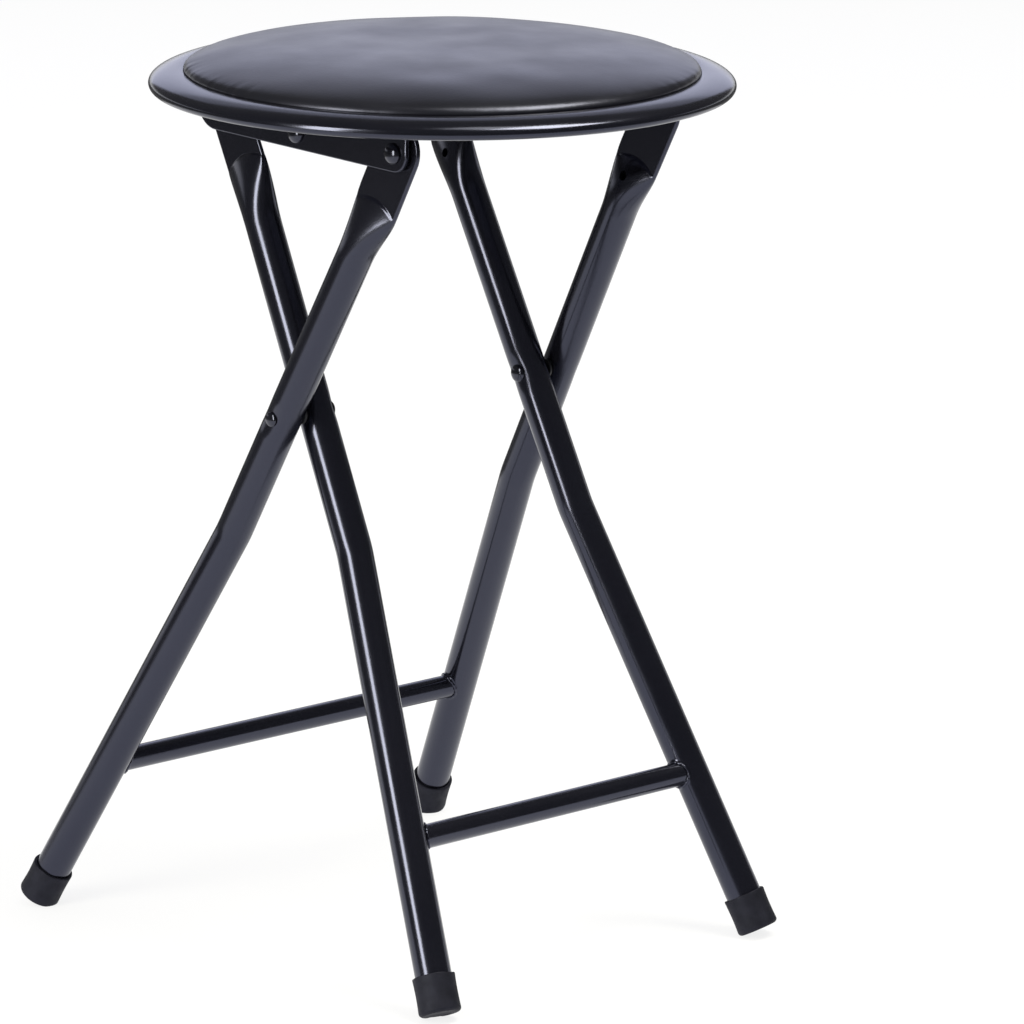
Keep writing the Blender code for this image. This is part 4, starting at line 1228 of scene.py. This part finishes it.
def fixing_tree():
    """Set a pattern piece on each point, along the point's axis."""
    inputs = [("Pattern", "Object"), ("Size", 1.0), ("Seed", FIXING_SEED)]
    tree, given, result = new_tree("set_fixings", "GeometryNodeTree", GEOMETRY + inputs + PAINT,
                                   GEOMETRY)
    axis = add_node(tree, "GeometryNodeInputNamedAttribute", {"Name": "axis"},
                    data_type="FLOAT_VECTOR")
    aim = add_node(tree, "FunctionNodeAlignRotationToVector",
                   {"Vector": axis.outputs["Attribute"]}, axis="Z")
    spin = add_node(tree, "FunctionNodeRandomValue", {2: 0.0, 3: math.tau, "Seed": given["Seed"]},
                    data_type="FLOAT")
    about = add_node(tree, "ShaderNodeCombineXYZ", {"Z": spin.outputs[1]})
    turn = add_node(tree, "FunctionNodeRotateRotation",
                    {"Rotation": aim.outputs["Rotation"], "Rotate By": about.outputs["Vector"]},
                    rotation_space="LOCAL")
    pattern = add_node(tree, "GeometryNodeObjectInfo", {"Object": given["Pattern"]},
                       transform_space="ORIGINAL")
    points = add_node(tree, "GeometryNodeMeshToPoints", {"Mesh": given["Geometry"]})
    copies = add_node(tree, "GeometryNodeInstanceOnPoints",
                      {"Points": points.outputs["Points"], "Instance": pattern.outputs["Geometry"],
                       "Rotation": turn.outputs["Rotation"], "Scale": given["Size"]})
    return end_tree(tree, copies.outputs["Instances"], given, result)


FIXING_TREE = fixing_tree()


def set_fixings(name, pattern, spots, body, nodes, seed=FIXING_SEED):
    """Copies of a pattern at (point, axis) spots, as one piece on a body."""
    mesh = bpy.data.meshes.new(name)
    mesh.from_pydata([spot for spot, axis in spots], [], [])
    axes = mesh.attributes.new("axis", "FLOAT_VECTOR", "POINT")
    axes.data.foreach_set("vector", [value for spot, axis in spots for value in axis])
    piece = run_tree(add_object(name, mesh), FIXING_TREE,
                     {"Pattern": pattern, "Seed": seed, "Finish": pattern.data.materials[0]})
    bpy.data.objects.remove(pattern, do_unlink=True)
    mount_piece(piece, body, nodes)


def pattern_piece(profile, material, closed=False):
    """Turned pattern with its axis on +Z."""
    shape = turned_shape(profile, FIXING_SIDES, Matrix.Identity(4), closed)
    return new_piece("pattern", shape, material)


def outward_pair(x, y, z):
    """The same spot on both sides of the stool, with its axis outwards."""
    return [((x, side * y, z), (0, side, 0)) for side, end in SIDES]


print(FIXING_TREE.name, "has", len(FIXING_TREE.nodes), "nodes")

# %% [markdown]
# A solid rivet has a domed head on the outside, and a flatter one that the press formed
# inside. The heads are ellipses turned about the shank. The rivets at the crossing have
# small heads that sit in the pressed hollows of the legs.

# %% Rivets
RIVET_RADIUS = 3 * MM
HEAD_RADIUS = 5.4 * MM
HEAD_HEIGHT = 3.2 * MM
HEAD_EDGE = 0.25 * MM
HEAD_CHAMFER = 0.1 * MM
TAIL_RADIUS = 4.8 * MM
TAIL_HEIGHT = 2.2 * MM
CROSSING_SOLID_HEAD = 2.0 * MM
CROSSING_HEAD = 1.6 * MM
CROSSING_HEAD_RADIUS = 3.9 * MM
CROSSING_SINK = 1.2 * MM


def head_profile(radius=HEAD_RADIUS, height=HEAD_HEIGHT):
    """Domed head that seats at height 0, down to its shank."""
    crown = arc((0, HEAD_EDGE), radius, height - HEAD_EDGE, 90, 0, 12)
    return crown + [(radius, HEAD_CHAMFER), (radius - HEAD_CHAMFER, 0), (RIVET_RADIUS, 0)]


def make_rivets(node, body, head, solid_head=HEAD_HEIGHT, sink=0):
    """Rivets on both sides: the head seats at height 0 and the tail a grip below it."""
    low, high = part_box(node + "_left")
    seat = high.y - solid_head
    grip = seat - low.y - TAIL_HEIGHT - 2 * sink
    tail = arc((0, -grip), TAIL_RADIUS, TAIL_HEIGHT, 0, -90, 8)
    spots = outward_pair((low.x + high.x) / 2, seat - sink, (low.z + high.z) / 2)
    set_fixings(node + "_pair", pattern_piece(head + [(RIVET_RADIUS, -grip)] + tail, RIVET_BLACK),
                spots, body, both_ends(node))


make_rivets("crossing_rivet", "outer_frame", head_profile(CROSSING_HEAD_RADIUS, CROSSING_HEAD),
            CROSSING_SOLID_HEAD, CROSSING_SINK)
make_rivets("seat_pivot_rivet", "seat", head_profile())
make_rivets("link_rivet", "seat", head_profile())

# %% [markdown]
# The rivet at the top of each inner leg is in two halves: the head goes with the link and
# the tail with the leg, because that is where the folding loop is opened.

# %% Split rivets
def make_halves(name, node, sides, body, head, height, facing):
    """Half rivets, from the head to the joint face; facing is 1 outwards and -1 inwards."""
    spots = []
    for side, end in sides:
        low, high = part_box(f"{node}_{end}")
        near, far = sorted((abs(low.y), abs(high.y)))
        seat = far - height if facing > 0 else near + height
        spots.append((((low.x + high.x) / 2, side * seat, (low.z + high.z) / 2),
                      (0, side * facing, 0)))
    grip = far - near - height
    pattern = pattern_piece(head + [(RIVET_RADIUS, -grip), (0, -grip)], RIVET_BLACK)
    set_fixings(name, pattern, spots, body, [f"{node}_{end}" for side, end in sides[::-1]])


for side, end in SIDES:
    make_halves(f"link_stud_{end}_head", "link_stud", [(side, end)], f"link_{end}",
                head_profile(), HEAD_HEIGHT, 1)
tail_head = arc((0, 0), TAIL_RADIUS, TAIL_HEIGHT, 90, 0, 8) + [(RIVET_RADIUS, 0)]
make_halves("inner_pivot_stud_pair", "inner_pivot_stud", SIDES, "inner_frame", tail_head,
            TAIL_HEIGHT, -1)

# %% [markdown]
# Washers, sleeves and spacers are plain rings, with their edges broken.

# %% Rings
RING_EDGE = 0.2 * MM


def make_rings(node, body, material):
    """A pair of rings in place of a node on each side."""
    low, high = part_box(node + "_left")
    bore, radius, half = RIVET_HOLE, (high.x - low.x) / 2, (high.y - low.y) / 2
    section = [(bore, RING_EDGE - half), (bore + RING_EDGE, -half), (radius - RING_EDGE, -half),
               (radius, RING_EDGE - half), (radius, half - RING_EDGE), (radius - RING_EDGE, half),
               (bore + RING_EDGE, half), (bore, half - RING_EDGE)]
    set_fixings(node + "_pair", pattern_piece(section, material, closed=True),
                outward_pair(*(low + high) / 2), body, both_ends(node))


make_rings("pivot_washer", "seat", NYLON)
make_rings("crossing_spacer", "outer_frame", NYLON)
make_rings("link_sleeve", "seat", ZINC)

# %% [markdown]
# Four pan-head screws hold the seat on its brackets. The cross in each head is cut into the
# pattern once, and the tree's random spin leaves every cross at its own angle.

# %% Screws
SCREW_RADIUS = 1.9 * MM
SCREW_HEAD_RADIUS = 4 * MM
SCREW_HEAD_HEIGHT = 2.3 * MM
CROSS_SIZE = (4.2 * MM, 0.8 * MM, 2.4 * MM, 1)


def screw_pattern(length):
    """Pan-head screw, head down at the origin, with a cross cut in its head."""
    head = arc((0, 0), SCREW_HEAD_RADIUS, SCREW_HEAD_HEIGHT, -90, 0, 10)
    point = [(SCREW_RADIUS, 0), (SCREW_RADIUS, length - SCREW_RADIUS), (0, length)]
    piece = pattern_piece(head + point, ZINC)
    for turn in (0, math.pi / 2):
        slot = bmesh.new()
        bmesh.ops.create_cube(slot, size=1)
        place = (Matrix.Rotation(turn, 4, "Z") @ Matrix.Translation((0, 0, -SCREW_HEAD_HEIGHT))
                 @ Matrix.Diagonal(CROSS_SIZE))
        bmesh.ops.transform(slot, matrix=place, verts=slot.verts)
        cut(piece, new_piece("cross", slot, ZINC))
    return piece


screw_nodes = both_ends("seat_screw_front") + both_ends("seat_screw_back")
screw_spots = []
for node in screw_nodes:
    low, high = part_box(node)
    screw_spots.append((((low.x + high.x) / 2, (low.y + high.y) / 2, low.z + SCREW_HEAD_HEIGHT),
                        (0, 0, 1)))
screw_length = high.z - low.z - SCREW_HEAD_HEIGHT
set_fixings("seat_screws", screw_pattern(screw_length), screw_spots, "seat", screw_nodes,
            SCREW_SEED)

# %% [markdown]
# Foam and board sit inside the cushion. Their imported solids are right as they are, so they
# only get their finishes.

# %% Inner pieces
for node, material in (("seat_foam", FOAM), ("seat_board", PLYWOOD)):
    frame["nodes"][node].data.materials.clear()
    frame["nodes"][node].data.materials.append(material)
    print(node, "is", material.name)

# %% [markdown]
# The stool stands on a white floor that runs on as far as the camera sees. Its material
# shows plain white to the camera, mixed with the floor's own shading, so that a soft shadow
# stays under the feet. Reflections see white paper near the stool and a darker floor beyond
# it. The world is white to the camera, and a dim room with a pale back wall to reflections.
# Five lamps light the stool.

# %% Stage
FLOOR_HALF = 60
FLOOR_WHITE = 0.82
PAPER_RADIUS = 1.1
PAPER_COLOUR = (0.86, 0.86, 0.87, 1)
DARK_FLOOR = (0.11, 0.11, 0.11, 1)
ROOM_LEVEL = 0.10
PLAIN_LEVEL = 0.8
BACK_AZIMUTH = 228
WHITE = (1.0, 0.97, 0.82)
COOLER = (0.757, 0.785, 1.0)
LEGS_MIDDLE = Vector((0, 0, 0.3))
SEAT_MIDDLE = Vector((0, 0, 0.46))


def ray_kinds(tree):
    """Kinds of rays, and 1 for a ray from the camera or through a clear piece."""
    rays = tree.nodes.new("ShaderNodeLightPath").outputs
    return rays, sums(tree, "MAXIMUM", rays["Is Camera Ray"], rays["Is Transmission Ray"])


def make_floor():
    """Wide white floor that keeps the stool's shadow."""
    shape = bmesh.new()
    bmesh.ops.create_grid(shape, x_segments=1, y_segments=1, size=FLOOR_HALF)
    material = bpy.data.materials.new("studio_floor")
    material.use_nodes = True
    tree = material.node_tree
    shader = tree.nodes["Principled BSDF"]
    shader.inputs["Roughness"].default_value = 0.9
    shader.inputs["Specular IOR Level"].default_value = 0.1
    rays, clear = ray_kinds(tree)
    place = tree.nodes.new("ShaderNodeTexCoord").outputs["Object"]
    far = add_node(tree, "ShaderNodeVectorMath", {0: place}, operation="LENGTH").outputs["Value"]
    paper = ramp(tree, far, PAPER_RADIUS, PAPER_RADIUS * 1.15, 1.0, 0.0)
    white_here = sums(tree, "MAXIMUM", paper, rays["Is Camera Ray"])
    colour = add_node(tree, "ShaderNodeMix", {0: white_here, 6: DARK_FLOOR, 7: PAPER_COLOUR},
                      data_type="RGBA")
    tree.links.new(colour.outputs[2], shader.inputs["Base Color"])
    white = add_node(tree, "ShaderNodeEmission", {"Color": (1, 1, 1, 1), "Strength": 1.0})
    seen = sums(tree, "MULTIPLY", sums(tree, "MAXIMUM", clear, rays["Is Glossy Ray"]), white_here)
    mixed = add_node(tree, "ShaderNodeMixShader", {0: sums(tree, "MULTIPLY", seen, FLOOR_WHITE),
                                                   1: shader.outputs[0], 2: white.outputs[0]})
    tree.links.new(mixed.outputs[0], tree.nodes["Material Output"].inputs["Surface"])
    floor = new_piece("floor", shape, material)


def make_world():
    """White to the camera, a dim room with a pale back wall to a gloss, and even to the rest."""
    world = bpy.data.worlds.new("studio")
    bpy.context.scene.world = world
    world.use_nodes = True
    tree = world.node_tree
    tree.nodes.clear()
    rays, clear = ray_kinds(tree)
    looks = tree.nodes.new("ShaderNodeTexCoord").outputs["Generated"]
    height = add_node(tree, "ShaderNodeSeparateXYZ", {"Vector": looks}).outputs["Z"]
    back = direction(math.radians(BACK_AZIMUTH), 0)
    towards = add_node(tree, "ShaderNodeVectorMath", {0: looks, 1: back},
                       operation="DOT_PRODUCT").outputs["Value"]
    low = ramp(tree, height, 0.06, 0.14, 1.0, 0.0, interpolation_type="SMOOTHSTEP")
    behind = ramp(tree, towards, 0.1, 0.4, interpolation_type="SMOOTHSTEP")
    room = ramp(tree, sums(tree, "MULTIPLY", low, behind), 0.0, 1.0, ROOM_LEVEL)
    shown = add_node(tree, "ShaderNodeMix", {0: rays["Is Glossy Ray"], 2: PLAIN_LEVEL, 3: room})
    level = add_node(tree, "ShaderNodeMix", {0: clear, 2: shown.outputs[0], 3: 1.0})
    background = add_node(tree, "ShaderNodeBackground", {"Color": (1, 1, 1, 1),
                                                         "Strength": level.outputs[0]})
    output = tree.nodes.new("ShaderNodeOutputWorld")
    tree.links.new(background.outputs[0], output.inputs["Surface"])


def softbox(name, aim, azimuth, elevation, distance, size, brightness, colour):
    """Area lamp, set by where it stands as seen from its aim, and how bright its face is."""
    lamp = bpy.data.lights.new(name, "AREA")
    lamp.shape = "RECTANGLE"
    lamp.size, lamp.size_y = size
    lamp.energy = brightness * math.pi * size[0] * size[1]
    lamp.color = colour
    piece = add_object(name, lamp)
    out = direction(math.radians(azimuth), math.radians(elevation))
    piece.location = aim + out * distance
    piece.rotation_euler = (-out).to_track_quat("-Z", "Y").to_euler()
    piece.visible_camera = False
    print(name, "gives", round(lamp.energy, 1), "W")


make_floor()
make_world()
softbox("left_strip", LEGS_MIDDLE, 3, 18, 1.7, (0.46, 1.5), 14, WHITE)
softbox("right_box", SEAT_MIDDLE, 120, 62, 2.2, (0.95, 0.9), 17, WHITE)
softbox("ceiling_box", SEAT_MIDDLE, 122, 80, 2.2, (0.8, 0.6), 3.2, WHITE)
softbox("back_box", SEAT_MIDDLE, BACK_AZIMUTH, 15, 3.0, (2.5, 1.1), 1.15, COOLER)
softbox("upper_back_box", SEAT_MIDDLE, BACK_AZIMUTH, 32, 3.0, (2.5, 0.7), 0.42, COOLER)

# %% [markdown]
# The plain Standard view transform keeps colours as they are written.

# %% Finish
bpy.context.scene.view_settings.view_transform = "Standard"
